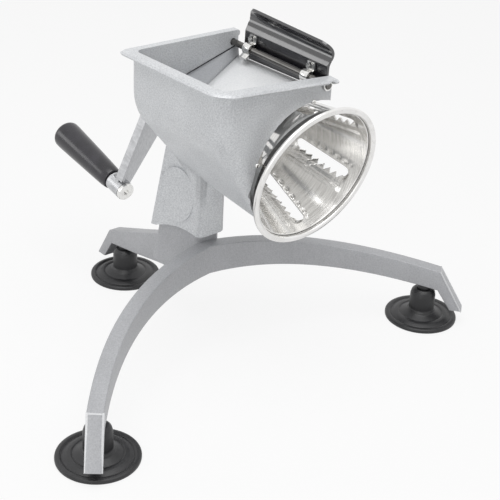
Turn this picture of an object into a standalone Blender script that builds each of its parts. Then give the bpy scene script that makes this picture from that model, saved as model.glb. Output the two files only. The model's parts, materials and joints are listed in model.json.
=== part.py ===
"""Hand-cranked vegetable shredder.

A cast hopper stands on a three-legged base with rubber suction feet. A slotted steel cone turns in the
hopper on a tilted shaft, driven by a crank at the back, and a hand guard is hinged on a rod above it.

Metres, +Z up. -Y is the mouth of the cone, +Y is the crank side, and +X is the hand guard's side.
z = 0 is the worktop, and the origin lies under the middle of the whole shredder's box.
"""

import math

import bmesh
import bpy
from mathutils import Matrix, Vector

GAP = 0.0003
FRAME_SHIFT_Y = -0.016194

# Cone and shaft. Along the axis, s = 0 is the cone's mouth and s grows towards the crank.
MOUTH_CENTRE = Vector((0.036, -0.1045, 0.1569))
AXIS_TILT = math.radians(12.8)
RIM_RADIUS = 0.0579
RIM_LENGTH = 0.0040
CONE_MOUTH_RADIUS = 0.0534
CONE_TAPER = 0.30
CONE_LENGTH = 0.104
CONE_WALL = 0.0012
CONE_END_WALL = 0.0022
CONE_CLEARANCE = 0.0015
SLOT_COUNT = 6
SLOT_FIRST_ANGLE = math.radians(-20)
SLOT_START = 0.011
SLOT_END = 0.060
SLOT_HALF_WIDTH = 0.0038
TOOTH_DEPTH = 0.0042
TEETH_PER_SLOT = 7
SHAFT_RADIUS = 0.005
SHAFT_START = 0.090
HUB_RADIUS = 0.014
HUB_LENGTH = 0.0052
HEX_RADIUS = 0.0085
BOSS_RADIUS = 0.0135
BOSS_START = 0.112
BOSS_END = 0.1665
BUSH_RADIUS = 0.0078
BUSH_LENGTH = 0.014
BUSH_FLANGE = 0.0014

# Crank, measured along the same axis and outwards from it.
CRANK_ANGLE = math.radians(-111)
CRANK_RADIUS = 0.118
ARM_START = 0.1705
ARM_THICKNESS = 0.0045
ARM_HUB_RADIUS = 0.018
ARM_EYE_RADIUS = 0.0080
ARM_EYE_START = 0.1660
ARM_EYE_END = 0.1820
ARM_RIB_WIDTH = 0.0028
ARM_RIB_HEIGHT = 0.0040
GRIP_LENGTH = 0.078
GRIP_NEAR_RADIUS = 0.0094
GRIP_FAR_RADIUS = 0.0126
SPINDLE_RADIUS = 0.003

# Hopper casting.
WALL = 0.0032
HOPPER_LEFT = -0.0485
HOPPER_RIGHT = 0.052
HOPPER_FRONT = -0.095
HOPPER_REAR = 0.014
HOPPER_TOP = 0.2352
FRONT_RIGHT_DROP = 0.0072
CREASE_HEIGHT = 0.206
HULL_RADIUS = 0.040
HULL_LEAN_FRONT = math.radians(33)
HULL_LEAN_REAR = math.radians(40)
HULL_BOTTOM_FRONT = 0.121
HULL_BOTTOM_REAR = 0.130
KEEL_RADIUS = 0.014
KEEL_RISE = math.radians(20)
KEEL_LIP = 0.008
CORNER_RADIUS_FRONT = 0.013
CORNER_RADIUS_REAR = 0.009
LIP_OVERHANG = 0.006
LIP_THICKNESS = 0.0042
MOUTH_CUT_RADIUS = 0.054
MOUTH_CUT_CENTRE = Vector((0.036, -0.0947, 0.1591))
COVER_LEFT = 0.0
COVER_LEFT_HEIGHT = 0.2060
COVER_SLOPE = 0.17
COVER_THICKNESS = 0.0032
COVER_WEDGE_LEFT = (0.0253, 0.0012)
COVER_WEDGE_RIGHT = (0.0015, 0.0085)

# Column, a tapered trapezoid in plan that ends in a skirt over the base's boss.
COLUMN_TOP = 0.152
COLUMN_BOTTOM = 0.085
COLUMN_FRONT = -0.0225
COLUMN_REAR_BOTTOM = 0.021
COLUMN_REAR_TOP = 0.014
COLUMN_CENTRE_X = 0.0053
COLUMN_FRONT_HALF = 0.0133
COLUMN_REAR_HALF_BOTTOM = 0.0277
COLUMN_REAR_HALF_TOP = 0.0193
SKIRT_WALL = 0.0032
SKIRT_DEPTH = 0.010
SKIRT_ARCH = 0.004
SKIRT_ARCH_RADIUS = 0.0417
SKIRT_ARCH_END = 0.78
OVAL_HALF_WIDTH = 0.0160
OVAL_HALF_HEIGHT = 0.0230
OVAL_HEIGHT = 0.116
OVAL_RELIEF = 0.0008

# Three-legged base and its feet.
LEG_HALF_WIDTH = 0.006
BASE_UNDERSIDE = 0.0545
FRONT_LEG_START = Vector((0.0, -0.023))
FRONT_LEG_CONTROL = Vector((0.0938, -0.0312))
FRONT_LEG_HEIGHTS = (0.0790, 0.0720, 0.0465)
FRONT_LEG_DEPTHS = (0.0245, 0.0195, 0.0175)
FRONT_FOOT = Vector((0.1625, -0.113))
REAR_FOOT = Vector((0.0, 0.090))
KNEE_REACH = 0.0125
FRONT_TIP_STEP = Vector((0.0129, -0.0166))
FRONT_TIP_HEIGHT = 0.0123
REAR_TIP_HEIGHT = 0.0103
CUP_RADIUS = 0.0300
CUP_STEM_RADIUS = 0.0105
FRONT_STEM_TOP = 0.0275
REAR_STEM_TOP = 0.0265
STUD_RADIUS = 0.0032
STUD_SINK = 0.009
BOLT_RADIUS = 0.004
BOLT_REACH = 0.118

# Hand guard and its rod.
ROD_CENTRE = Vector((0.047, 0.0, 0.2260))
ROD_TILT = math.radians(1.7)
ROD_RADIUS = 0.0026
ROD_FRONT = -0.0975
ROD_REAR = 0.0165
GUARD_FRONT = -0.0890
GUARD_REAR = 0.0030
GUARD_STRAIGHT = 0.0106
GUARD_REAR_RISE = 0.91
GUARD_FRONT_RISE = 0.80
GUARD_REAR_LOW = -0.0104
GUARD_FRONT_LOW = -0.0076
GUARD_THICKNESS = 0.0022
GUARD_OFFSET = 0.0059
GUARD_CORNER = 0.009
CLIP_PLACES = {"front": -0.0740, "rear": -0.0085}
CLIP_WIDTH = 0.0075
CLIP_THICKNESS = 0.0015
CLIP_SCREW_RADIUS = 0.0014
CLIP_SCREW_HEIGHT = 0.0076
ROD_CAP_RADIUS = 0.0040

FINISHES = {
    "hopper_paint": ((0.60, 0.61, 0.62), 0.45, 0.3),
    "base_paint": ((0.33, 0.34, 0.35), 0.5, 0.3),
    "polished_steel": ((0.62, 0.60, 0.57), 0.16, 1.0),
    "plated_steel": ((0.66, 0.66, 0.66), 0.22, 1.0),
    "cast_aluminium": ((0.50, 0.50, 0.50), 0.4, 0.9),
    "bronze": ((0.42, 0.25, 0.10), 0.4, 1.0),
    "black_plastic": ((0.02, 0.02, 0.022), 0.22, 0.0),
    "rubber": ((0.025, 0.025, 0.027), 0.6, 0.0),
}


def clear_scene():
    for obj in list(bpy.data.objects):
        bpy.data.objects.remove(obj, do_unlink=True)


def finish(name, kind):
    """A Principled material of its own for one part."""
    colour, roughness, metallic = FINISHES[kind]
    material = bpy.data.materials.new(f"{name}_{kind}")
    material.use_nodes = True
    shader = material.node_tree.nodes["Principled BSDF"]
    shader.inputs["Base Color"].default_value = (*colour, 1.0)
    shader.inputs["Roughness"].default_value = roughness
    shader.inputs["Metallic"].default_value = metallic
    return material


def frame_at(name, parent, location=(0, 0, 0), rotation=(0, 0, 0)):
    """An empty that carries parts, placed under its parent."""
    empty = bpy.data.objects.new(name, None)
    empty.location = location
    empty.rotation_euler = rotation
    empty.parent = parent
    bpy.context.scene.collection.objects.link(empty)
    return empty


def add_solid(name, bm, parent):
    bmesh.ops.recalc_face_normals(bm, faces=bm.faces)
    mesh = bpy.data.meshes.new(name)
    bm.to_mesh(mesh)
    bm.free()
    mesh.shade_smooth()
    mesh.set_sharp_from_angle(angle=math.radians(35))
    obj = bpy.data.objects.new(name, mesh)
    obj.parent = parent
    bpy.context.scene.collection.objects.link(obj)
    return obj


def add_part(name, bm, kind, parent):
    obj = add_solid(name, bm, parent)
    obj.data.materials.append(finish(name, kind))
    return obj


def combine(target, bm, operation, name, parent=None):
    """Joins a helper shape to the target, or cuts it away. The helper isn't a part of its own."""
    helper = add_solid(name, bm, parent or target.parent)
    helper.hide_render = True
    helper.display_type = "WIRE"
    modifier = target.modifiers.new(name, "BOOLEAN")
    modifier.operation = operation
    modifier.object = helper
    return helper


def cut(target, bm, name, parent=None):
    return combine(target, bm, "DIFFERENCE", name, parent)


def join(target, bm, name, parent=None):
    return combine(target, bm, "UNION", name, parent)


def bridge(bm, first, second):
    """Faces between two rings of vertices, either of which may be a single point."""
    count = max(len(first), len(second))
    if count == 1:
        return
    for i in range(count):
        j = (i + 1) % count
        near = [first[i % len(first)], first[j % len(first)]]
        far = [second[j % len(second)], second[i % len(second)]]
        bm.faces.new(list(dict.fromkeys([*near, *far])))


def lofted(sections):
    """A closed solid through sections with equal counts of points, flat at both ends."""
    bm = bmesh.new()
    rings = [[bm.verts.new(point) for point in section] for section in sections]
    for first, second in zip(rings, rings[1:]):
        bridge(bm, first, second)
    for ring in (rings[0], rings[-1]):
        bm.faces.new(ring)
    bm.normal_update()
    bmesh.ops.triangulate(bm, faces=bm.faces)
    return bm


def turned(outline, steps=32, closed=False):
    """Turns (radius, height) points round Z. A radius of 0 is a point on the axis."""
    bm = bmesh.new()
    rings = []
    for radius, height in outline:
        turns = steps if radius > 0 else 1
        angles = [2 * math.pi * i / turns for i in range(turns)]
        rings.append([bm.verts.new((radius * math.cos(a), radius * math.sin(a), height)) for a in angles])
    for first, second in zip(rings, rings[1:]):
        bridge(bm, first, second)
    if closed:
        bridge(bm, rings[-1], rings[0])
    return bm


def rod_shape(radius, start, end, steps=24):
    """A cylinder along Z, or a prism where the steps are few."""
    angles = [2 * math.pi * i / steps for i in range(steps)]
    ring = [(radius * math.cos(angle), radius * math.sin(angle)) for angle in angles]
    return lofted([[Vector((x, y, z)) for x, y in ring] for z in (start, end)])


def tube_shape(outer, inner, start, end, steps=24):
    return turned([(inner, start), (outer, start), (outer, end), (inner, end)], steps, closed=True)


def add_hex_nut(name, radius, bore, start, end, parent, place=None, dome=0.0):
    """A hexagonal nut along Z. With a dome, its far end is closed."""
    outline = [(0, start), (radius, start), (radius, end)]
    if dome:
        outline += [(0.75 * radius, end + 0.7 * dome)]
    outline += [(0, end + dome)]
    place = place or Matrix.Identity(4)
    nut = add_part(name, moved(turned(outline, 6), place), "plated_steel", parent)
    hole = rod_shape(bore, start - 0.005, end if dome else end + 0.005, 20)
    cut(nut, moved(hole, place), f"{name}_bore_cutter")
    return nut


def circle_arc(centre, radius, start, end, count):
    """Points (x, y) on an arc, angles in radians, both ends included."""
    angles = [start + (end - start) * i / (count - 1) for i in range(count)]
    return [(centre[0] + radius * math.cos(a), centre[1] + radius * math.sin(a)) for a in angles]


def moved(bm, matrix):
    bmesh.ops.transform(bm, matrix=matrix, verts=bm.verts)
    return bm


def merged(*shapes):
    """Several separate shapes in one helper mesh."""
    result = bmesh.new()
    for shape in shapes:
        mesh = bpy.data.meshes.new("part_of_helper")
        shape.to_mesh(mesh)
        shape.free()
        result.from_mesh(mesh)
        bpy.data.meshes.remove(mesh)
    return result


def cone_radius(s):
    """Outer radius of the cone's wall at distance s behind its mouth."""
    return CONE_MOUTH_RADIUS - CONE_TAPER * (s - RIM_LENGTH)


def lip_height(x, y):
    """Top of the hopper's lip, which falls towards the front right corner."""
    right = (x - HOPPER_LEFT) / (HOPPER_RIGHT - HOPPER_LEFT)
    front = (HOPPER_REAR - y) / (HOPPER_REAR - HOPPER_FRONT)
    return HOPPER_TOP - FRONT_RIGHT_DROP * min(max(right, 0), 1) * min(max(front, 0), 1)


def between(first, last, share):
    return first + (last - first) * share


def hull_section(y, inset, right, top):
    """The hopper's section at y: down its left wall, round the hull and keel, then up its right side."""
    share = (y - HOPPER_FRONT) / (HOPPER_REAR - HOPPER_FRONT)
    lean = between(HULL_LEAN_FRONT, HULL_LEAN_REAR, share)
    bottom = between(HULL_BOTTOM_FRONT, HULL_BOTTOM_REAR, share)
    crease = (HOPPER_LEFT + HULL_RADIUS, CREASE_HEIGHT)
    bend = circle_arc(crease, HULL_RADIUS - inset, math.pi, math.pi + lean, 6)
    keel_height = bottom + KEEL_RADIUS
    fall = crease[1] - HULL_RADIUS * math.sin(lean) - (keel_height - KEEL_RADIUS * math.sin(lean))
    keel_x = crease[0] - HULL_RADIUS * math.cos(lean) + fall * math.tan(lean) + KEEL_RADIUS * math.cos(lean)
    keel_end = 1.5 * math.pi + KEEL_RISE
    keel = circle_arc((keel_x, keel_height), KEEL_RADIUS - inset, math.pi + lean, keel_end, 5)
    lip =(keel[-1][0] + KEEL_LIP * math.cos(KEEL_RISE), keel[-1][1] + KEEL_LIP * math.sin(KEEL_RISE))
    left_top = (HOPPER_LEFT + inset, top(HOPPER_LEFT, y))
    corner = (right, between(lip[1], CREASE_HEIGHT, 0.3))
    outline = [left_top, *bend, *keel, lip, corner, (right, top(right, y))]
    return [Vector((x, y, z)) for x, z in outline]


def hull_shape(wall, front, rear, right, top):
    """The hopper's hull between two y values, with its left corners rounded. wall is 0 for the outside."""
    sections = []
    turns = 5
    for i in range(turns + 1):
        angle = 0.5 * math.pi * (1 - i / turns)
        radius = CORNER_RADIUS_FRONT - wall
        inset = wall + radius * (1 - math.cos(angle))
        sections.append(hull_section(front + radius * (1 - math.sin(angle)), inset, right, top))
    for i in range(turns + 1):
        angle = 0.5 * math.pi * i / turns
        radius = CORNER_RADIUS_REAR - wall
        inset = wall + radius * (1 - math.cos(angle))
        sections.append(hull_section(rear - radius * (1 - math.sin(angle)), inset, right, top))
    return lofted(sections)


def lip_outline(overhang):
    """Plan of the hopper's rim, a rectangle with rounded left corners."""
    left = HOPPER_LEFT - overhang
    front = HOPPER_FRONT - overhang
    rear = HOPPER_REAR + overhang
    front_radius = CORNER_RADIUS_FRONT + overhang * 0.6
    rear_radius = CORNER_RADIUS_REAR - overhang * 0.6
    front_centre = (left + front_radius, front + front_radius)
    rear_centre = (left + rear_radius, rear - rear_radius)
    front_corner = circle_arc(front_centre, front_radius, math.pi, 1.5 * math.pi, 6)
    rear_corner = circle_arc(rear_centre, rear_radius, 0.5 * math.pi, math.pi, 6)
    right = HOPPER_RIGHT + 0.25 * overhang
    return [*rear_corner, *front_corner, (right, front), (right, rear)]


def lip_shape():
    levels = (
        (0.45 * LIP_OVERHANG, -LIP_THICKNESS),
        (0.9 * LIP_OVERHANG, -0.75 * LIP_THICKNESS),
        (LIP_OVERHANG, -0.45 * LIP_THICKNESS),
        (0.8 * LIP_OVERHANG, -0.12 * LIP_THICKNESS),
        (0.4 * LIP_OVERHANG, 0.0),
    )
    sections = []
    for overhang, drop in levels:
        sections.append([Vector((x, y, lip_height(x, y) + drop)) for x, y in lip_outline(overhang)])
    return lofted(sections)


def cover_shape():
    """The sloped plate above the cone, with a wedge along the rear wall that widens to the left."""
    front = HOPPER_FRONT + 0.5 * WALL
    rear = HOPPER_REAR - 0.5 * WALL
    inner_rear = HOPPER_REAR - WALL

    def height(x):
        return COVER_LEFT_HEIGHT + COVER_SLOPE * x

    def section(x, wedge_width, wedge_height):
        top = height(x)
        points = (
            (front, top),
            (inner_rear - wedge_width, top),
            (inner_rear, top + wedge_height),
            (rear, top + wedge_height),
            (rear, top - COVER_THICKNESS),
            (front, top - COVER_THICKNESS),
        )
        return [Vector((x, y, z)) for y, z in points]

    return lofted([section(COVER_LEFT, *COVER_WEDGE_LEFT), section(HOPPER_RIGHT, *COVER_WEDGE_RIGHT)])


def column_section(z, grow):
    """Plan of the column at z, grown outwards by grow."""
    share = (z - COLUMN_BOTTOM) / (COLUMN_TOP - COLUMN_BOTTOM)
    rear_half = between(COLUMN_REAR_HALF_BOTTOM, COLUMN_REAR_HALF_TOP, share) + grow
    rear = between(COLUMN_REAR_BOTTOM, COLUMN_REAR_TOP, share) + grow
    front_half = COLUMN_FRONT_HALF + grow
    front = COLUMN_FRONT - grow
    corner = 0.0045
    outline = [
        (-front_half, front + corner),
        (-front_half + 0.3 * corner, front + 0.3 * corner),
        (-front_half + corner, front),
        (front_half - corner, front),
        (front_half - 0.3 * corner, front + 0.3 * corner),
        (front_half, front + corner),
        (rear_half, rear),
        (-rear_half, rear),
    ]
    return [Vector((COLUMN_CENTRE_X + x, y, z)) for x, y in outline]


def oval_relief():
    """The raised plain oval on the column's left face, as a prism square to that face."""
    bottom = column_section(COLUMN_BOTTOM, 0)
    top = column_section(COLUMN_TOP, 0)
    share = (OVAL_HEIGHT - COLUMN_BOTTOM) / (COLUMN_TOP - COLUMN_BOTTOM)
    centre = between(between(bottom[0], bottom[-1], 0.5), between(top[0], top[-1], 0.5), share)
    along = (bottom[0] - bottom[-1]).normalized()
    upward = between(top[0], top[-1], 0.5) - between(bottom[0], bottom[-1], 0.5)
    upward = (upward - upward.project(along)).normalized()
    outward = along.cross(upward)
    if outward.x > 0:
        outward.negate()
    angles = [2 * math.pi * i / 28 for i in range(28)]
    sections = []
    for depth in (-0.0015, OVAL_RELIEF):
        ring = []
        for angle in angles:
            side = along * (OVAL_HALF_WIDTH * math.cos(angle))
            rise = upward * (OVAL_HALF_HEIGHT * math.sin(angle))
            ring.append(centre + side + rise + outward * depth)
        sections.append(ring)
    return lofted(sections)


def skirt_arch_shape():
    """The shallow arch under the skirt's left and right faces, as one prism along X."""
    middle = (-0.001, COLUMN_BOTTOM + SKIRT_ARCH - SKIRT_ARCH_RADIUS)
    arch = circle_arc(middle, SKIRT_ARCH_RADIUS, SKIRT_ARCH_END, math.pi - SKIRT_ARCH_END, 9)
    below = COLUMN_BOTTOM - 0.015
    outline = [*arch, (arch[-1][0], below), (arch[0][0], below)]
    return lofted([[Vector((x, y, z)) for y, z in outline] for x in (-0.06, 0.06)])


def add_hopper(root, axis, rod_frame):
    """The cast hopper, its column and the bearing boss behind it, in one piece."""

    def wall_top(x, y):
        return lip_height(x, y) - 0.5 * LIP_THICKNESS

    def open_top(x, y):
        return HOPPER_TOP + 0.02

    body = add_part(
        "hopper_body",
        hull_shape(0, HOPPER_FRONT, HOPPER_REAR, HOPPER_RIGHT, wall_top),
        "hopper_paint",
        root,
    )
    join(body, lip_shape(), "hopper_lip_shape")
    join(body, lofted([column_section(z, 0) for z in (COLUMN_BOTTOM, COLUMN_TOP)]), "column_shape")
    join(body, oval_relief(), "oval_shape")
    chamber_front = HOPPER_FRONT + WALL
    chamber_rear = HOPPER_REAR - WALL
    chamber = hull_shape(WALL, chamber_front, chamber_rear, HOPPER_RIGHT + 0.02, open_top)
    cut(body, chamber, "chamber_cutter")
    join(body, cover_shape(), "cone_cover_shape")
    join(body, rod_shape(BOSS_RADIUS, BOSS_START, BOSS_END, 32), "bearing_boss_shape", axis)
    drum_space = [
        (0, -0.02),
        (cone_radius(-0.02) + CONE_CLEARANCE, -0.02),
        (cone_radius(CONE_LENGTH) + CONE_CLEARANCE, CONE_LENGTH + CONE_CLEARANCE),
        (0, CONE_LENGTH + CONE_CLEARANCE),
    ]
    cut(body, turned(drum_space, 48), "cone_space_cutter", axis)
    along_y = Matrix.Rotation(math.pi / 2, 4, "X")
    front_space = moved(rod_shape(MOUTH_CUT_RADIUS, -0.006, 0.006, 48), along_y)
    cut(body, moved(front_space, Matrix.Translation(MOUTH_CUT_CENTRE)), "mouth_cutter")
    rod_hole = rod_shape(ROD_RADIUS + GAP, -0.02, 0.11, 18)
    cut(body, moved(rod_hole, along_y), "rod_hole_cutter", rod_frame)
    for name, start, end in (("front", -HOPPER_FRONT - GAP, 0.12), ("rear", -0.03, -HOPPER_REAR + GAP)):
        spot_face = rod_shape(ROD_CAP_RADIUS + GAP, start, end, 20)
        cut(body, moved(spot_face, along_y), f"rod_{name}_spot_face_cutter", rod_frame)
    recess_levels = (COLUMN_BOTTOM - 0.005, COLUMN_BOTTOM + SKIRT_DEPTH)
    recess = lofted([column_section(z, -SKIRT_WALL) for z in recess_levels])
    cut(body, recess, "skirt_recess_cutter")
    cut(body, skirt_arch_shape(), "skirt_arch_cutter")
    bolt_hole = rod_shape(BOLT_RADIUS + GAP, COLUMN_BOTTOM - 0.01, BOLT_REACH + GAP, 20)
    cut(body, moved(bolt_hole, Matrix.Translation((COLUMN_CENTRE_X, 0, 0))), "bolt_hole_cutter")
    cut(body, rod_shape(BUSH_RADIUS + GAP, BOSS_START - 0.01, BOSS_END + 0.01, 28), "shaft_bore_cutter", axis)
    return body


def leg_section(place, heading, top, bottom, half_width):
    """Four corners across a leg. top and bottom are (reach, height) pairs along its heading."""
    side = Vector((heading.y, -heading.x))
    corners = []
    for reach, height, sign in (
        (*top, 1),
        (*top, -1),
        (*bottom, -1),
        (*bottom, 1),
    ):
        point = place + heading * reach + side * (half_width * sign)
        corners.append(Vector((point.x, point.y, height)))
    return corners


def front_leg_sections(count=9):
    """From the middle of the base out to the tip of the leg on +X."""
    knee = FRONT_FOOT + (FRONT_FOOT - FRONT_LEG_CONTROL).normalized() * KNEE_REACH
    sections = []
    for i in range(count):
        t = i / (count - 1)
        weights = ((1 - t) ** 2, 2 * t * (1 - t), t * t)
        place = FRONT_LEG_START * weights[0] + FRONT_LEG_CONTROL * weights[1] + knee * weights[2]
        heading = (FRONT_LEG_CONTROL - FRONT_LEG_START) * (1 - t) + (knee - FRONT_LEG_CONTROL) * t
        heading.normalize()
        height = sum(w * h for w, h in zip(weights, FRONT_LEG_HEIGHTS))
        depth = sum(w * d for w, d in zip(weights, FRONT_LEG_DEPTHS))
        bottom_reach = -0.001 * t**4
        sections.append(
            leg_section(place, heading, (0, height), (bottom_reach, height - depth), LEG_HALF_WIDTH)
        )
    tip = FRONT_TIP_STEP.length
    top = (tip, FRONT_TIP_HEIGHT)
    low = (tip - 0.0105, FRONT_TIP_HEIGHT)
    sections.append(leg_section(knee, FRONT_TIP_STEP.normalized(), top, low, LEG_HALF_WIDTH))
    return sections


def rear_leg_sections():
    heading = Vector((0.0, 1.0))
    start = Vector((0.0, 0.010))
    profile = (
        ((0.0, 0.0740), (0.0, 0.0420)),
        ((0.025, 0.0650), (0.025, 0.0385)),
        ((0.057, 0.0530), (0.057, 0.0325)),
        ((0.0965, 0.0385), (0.0925, 0.0270)),
        ((0.1140, REAR_TIP_HEIGHT), (0.1035, REAR_TIP_HEIGHT)),
    )
    return [leg_section(start, heading, top, bottom, LEG_HALF_WIDTH) for top, bottom in profile]


def mirrored(section):
    """The same section on -X."""
    return [Vector((-point.x, point.y, point.z)) for point in section]


def feet():
    """Name, plan position and stem height of each foot."""
    return (
        ("left", Vector((-FRONT_FOOT.x, FRONT_FOOT.y)), FRONT_STEM_TOP),
        ("right", FRONT_FOOT, FRONT_STEM_TOP),
        ("rear", REAR_FOOT, REAR_STEM_TOP),
    )


def add_base(root):
    """The cast base: two front legs in one curved bar, a straight rear leg and the boss for the column."""
    right_side = front_leg_sections()
    left_side = [mirrored(section) for section in right_side[:0:-1]]
    base = add_part("tripod_base", lofted([*left_side, *right_side]), "base_paint", root)
    join(base, lofted(rear_leg_sections()), "rear_leg_shape")
    boss_inset = -(SKIRT_WALL + GAP)
    boss_top = COLUMN_BOTTOM + SKIRT_DEPTH - GAP
    tenon = [column_section(z, boss_inset) for z in (BASE_UNDERSIDE, boss_top)]
    join(base, lofted(tenon), "base_tenon_shape")
    for name, place, stem_top in feet():
        spot = Matrix.Translation((place.x, place.y, 0))
        seat = moved(rod_shape(LEG_HALF_WIDTH - 0.0002, stem_top + GAP, stem_top + 0.012, 20), spot)
        join(base, seat, f"{name}_foot_seat_shape")
        hole = moved(rod_shape(STUD_RADIUS + GAP, stem_top - 0.01, stem_top + STUD_SINK + GAP, 16), spot)
        cut(base, hole, f"{name}_stud_hole_cutter")
    bolt_hole = rod_shape(BOLT_RADIUS + GAP, BASE_UNDERSIDE - 0.02, boss_top + 0.01, 20)
    cut(base, moved(bolt_hole, Matrix.Translation((COLUMN_CENTRE_X, 0, 0))), "base_bolt_hole_cutter")
    spot_face = rod_shape(0.0105, BASE_UNDERSIDE - 0.02, BASE_UNDERSIDE + 0.0015, 24)
    cut(base, moved(spot_face, Matrix.Translation((COLUMN_CENTRE_X, 0, 0))), "base_spot_face_cutter")
    return base


def add_column_bolt(root):
    seat = BASE_UNDERSIDE + 0.0015 - GAP
    spot = Matrix.Translation((COLUMN_CENTRE_X, 0, 0))
    washer = tube_shape(0.0095, BOLT_RADIUS + GAP, seat - 0.0016, seat)
    add_part("column_washer", moved(washer, spot), "plated_steel", root)
    head_top = seat - 0.0016 - GAP
    head = rod_shape(0.0075, head_top - 0.0055, head_top, 6)
    bolt = add_part("column_bolt", moved(head, spot), "plated_steel", root)
    shank = rod_shape(BOLT_RADIUS, head_top - 0.002, BOLT_REACH, 20)
    join(bolt, moved(shank, spot), "column_bolt_shank_shape")


def add_feet(root):
    for name, place, stem_top in feet():
        spot = Matrix.Translation((place.x, place.y, 0))
        bore = STUD_RADIUS + GAP
        outline = [
            (0, 0.0042),
            (0.017, 0.0032),
            (0.0275, 0.0),
            (CUP_RADIUS, 0.0),
            (CUP_RADIUS, 0.0022),
            (0.0290, 0.0032),
            (0.0250, 0.0034),
            (0.0190, 0.0048),
            (0.0128, 0.0068),
            (0.0114, 0.0082),
            (CUP_STEM_RADIUS, 0.0095),
            (CUP_STEM_RADIUS, stem_top - 0.0055),
            (0.0096, stem_top - 0.0022),
            (0.0074, stem_top),
            (bore, stem_top),
            (bore, 0.0095),
            (0, 0.0095),
        ]
        add_part(f"{name}_suction_cup", moved(turned(outline, 40), spot), "rubber", root)
        stud = rod_shape(STUD_RADIUS, 0.0095 + GAP, stem_top + STUD_SINK, 16)
        add_part(f"{name}_foot_stud", moved(stud, spot), "plated_steel", root)


def slot_outline():
    """(along, across) points of one slot: plain on one side and toothed on the other, with round ends."""
    length = SLOT_END - SLOT_START
    half = SLOT_HALF_WIDTH
    points = circle_arc((half, 0), half, 0.5 * math.pi, 1.5 * math.pi, 6)
    pitch = (length - 2 * half) / TEETH_PER_SLOT
    for i in range(TEETH_PER_SLOT):
        start = half + i * pitch
        points.append((start + 0.5 * pitch, -half - TOOTH_DEPTH))
        points.append((start + pitch, -half))
    points += circle_arc((length - half, 0), half, -0.3 * math.pi, 0.5 * math.pi, 5)
    return [(along, -across) for along, across in reversed(points)]


def slot_cutters():
    """One prism for each slot, square to the cone's wall."""
    lean = math.atan(CONE_TAPER)
    shapes = []
    for i in range(SLOT_COUNT):
        angle = -(SLOT_FIRST_ANGLE + 2 * math.pi * i / SLOT_COUNT)
        radial = Vector((math.cos(angle), math.sin(angle), 0))
        across = Vector((-math.sin(angle), math.cos(angle), 0))
        axial = Vector((0, 0, 1))
        along = axial * math.cos(lean) - radial * math.sin(lean)
        outward = radial * math.cos(lean) + axial * math.sin(lean)
        start = radial * cone_radius(SLOT_START) + axial * SLOT_START
        sections = []
        for depth in (-0.006, 0.004):
            sections.append([start + along * u + across * v + outward * depth for u, v in slot_outline()])
        shapes.append(lofted(sections))
    return merged(*shapes)


def add_cone(frame):
    inner = CONE_WALL
    outline = [
        (0, CONE_LENGTH - CONE_END_WALL),
        (cone_radius(CONE_LENGTH - CONE_END_WALL) - inner, CONE_LENGTH - CONE_END_WALL),
        (cone_radius(RIM_LENGTH) - inner, RIM_LENGTH),
        (CONE_MOUTH_RADIUS - 0.0002, 0.0012),
        (CONE_MOUTH_RADIUS + 0.0012, 0.0),
        (RIM_RADIUS - 0.0010, 0.0),
        (RIM_RADIUS, 0.0012),
        (RIM_RADIUS, 0.0030),
        (RIM_RADIUS - 0.0012, RIM_LENGTH),
        (cone_radius(RIM_LENGTH), RIM_LENGTH),
        (cone_radius(CONE_LENGTH - 0.001), CONE_LENGTH - 0.001),
        (cone_radius(CONE_LENGTH) - 0.001, CONE_LENGTH),
        (0, CONE_LENGTH),
    ]
    cone = add_part("shredding_cone", turned(outline, 60), "polished_steel", frame)
    cut(cone, slot_cutters(), "slot_cutters")
    hex_hole = rod_shape(HEX_RADIUS + 2 * GAP, CONE_LENGTH - 0.01, CONE_LENGTH + 0.01, 6)
    cut(cone, hex_hole, "cone_hex_hole_cutter")
    nut_back = CONE_LENGTH - CONE_END_WALL - GAP
    add_hex_nut("cone_lock_nut", 0.0115, SHAFT_RADIUS + GAP, nut_back - 0.0075, nut_back, frame)


def add_shaft(frame):
    hub_front = CONE_LENGTH + GAP
    hub = add_part(
        "drive_hub",
        tube_shape(HUB_RADIUS, SHAFT_RADIUS + GAP, hub_front, hub_front + HUB_LENGTH, 32),
        "cast_aluminium",
        frame,
    )
    hex_start = CONE_LENGTH - CONE_END_WALL + GAP
    join(hub, rod_shape(HEX_RADIUS, hex_start, hub_front + 0.002, 6), "drive_hex_shape")
    cut(hub, rod_shape(SHAFT_RADIUS + GAP, CONE_LENGTH - 0.02, CONE_LENGTH + 0.02), "hub_bore_cutter")
    end = ARM_START + ARM_THICKNESS + 0.0080
    add_part("drive_shaft", rod_shape(SHAFT_RADIUS, SHAFT_START, end), "plated_steel", frame)


def add_bushes(frame):
    """A flanged bush at each end of the bearing boss. The flange lies against the boss's face."""
    inner = SHAFT_RADIUS + GAP
    for name, face, inward in (("front_bush", BOSS_START, 1), ("rear_bush", BOSS_END, -1)):
        outline = [
            (inner, face - inward * (BUSH_FLANGE + GAP)),
            (BOSS_RADIUS - 0.002, face - inward * (BUSH_FLANGE + GAP)),
            (BOSS_RADIUS - 0.002, face - inward * GAP),
            (BUSH_RADIUS, face - inward * GAP),
            (BUSH_RADIUS, face + inward * BUSH_LENGTH),
            (inner, face + inward * BUSH_LENGTH),
        ]
        add_part(name, turned(outline, 32, closed=True), "bronze", frame)


def arm_plan():
    """Outline of the crank arm seen along the shaft: a large hub, straight tangent sides and a small eye."""
    lean = math.asin((ARM_HUB_RADIUS - ARM_EYE_RADIUS * 0.8) / CRANK_RADIUS)
    hub = circle_arc((0, 0), ARM_HUB_RADIUS, 0.5 * math.pi - lean, 1.5 * math.pi + lean, 15)
    eye = circle_arc((CRANK_RADIUS, 0), ARM_EYE_RADIUS * 0.8, -0.5 * math.pi + lean, 0.5 * math.pi - lean, 7)
    return [*hub, *eye], lean


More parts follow.
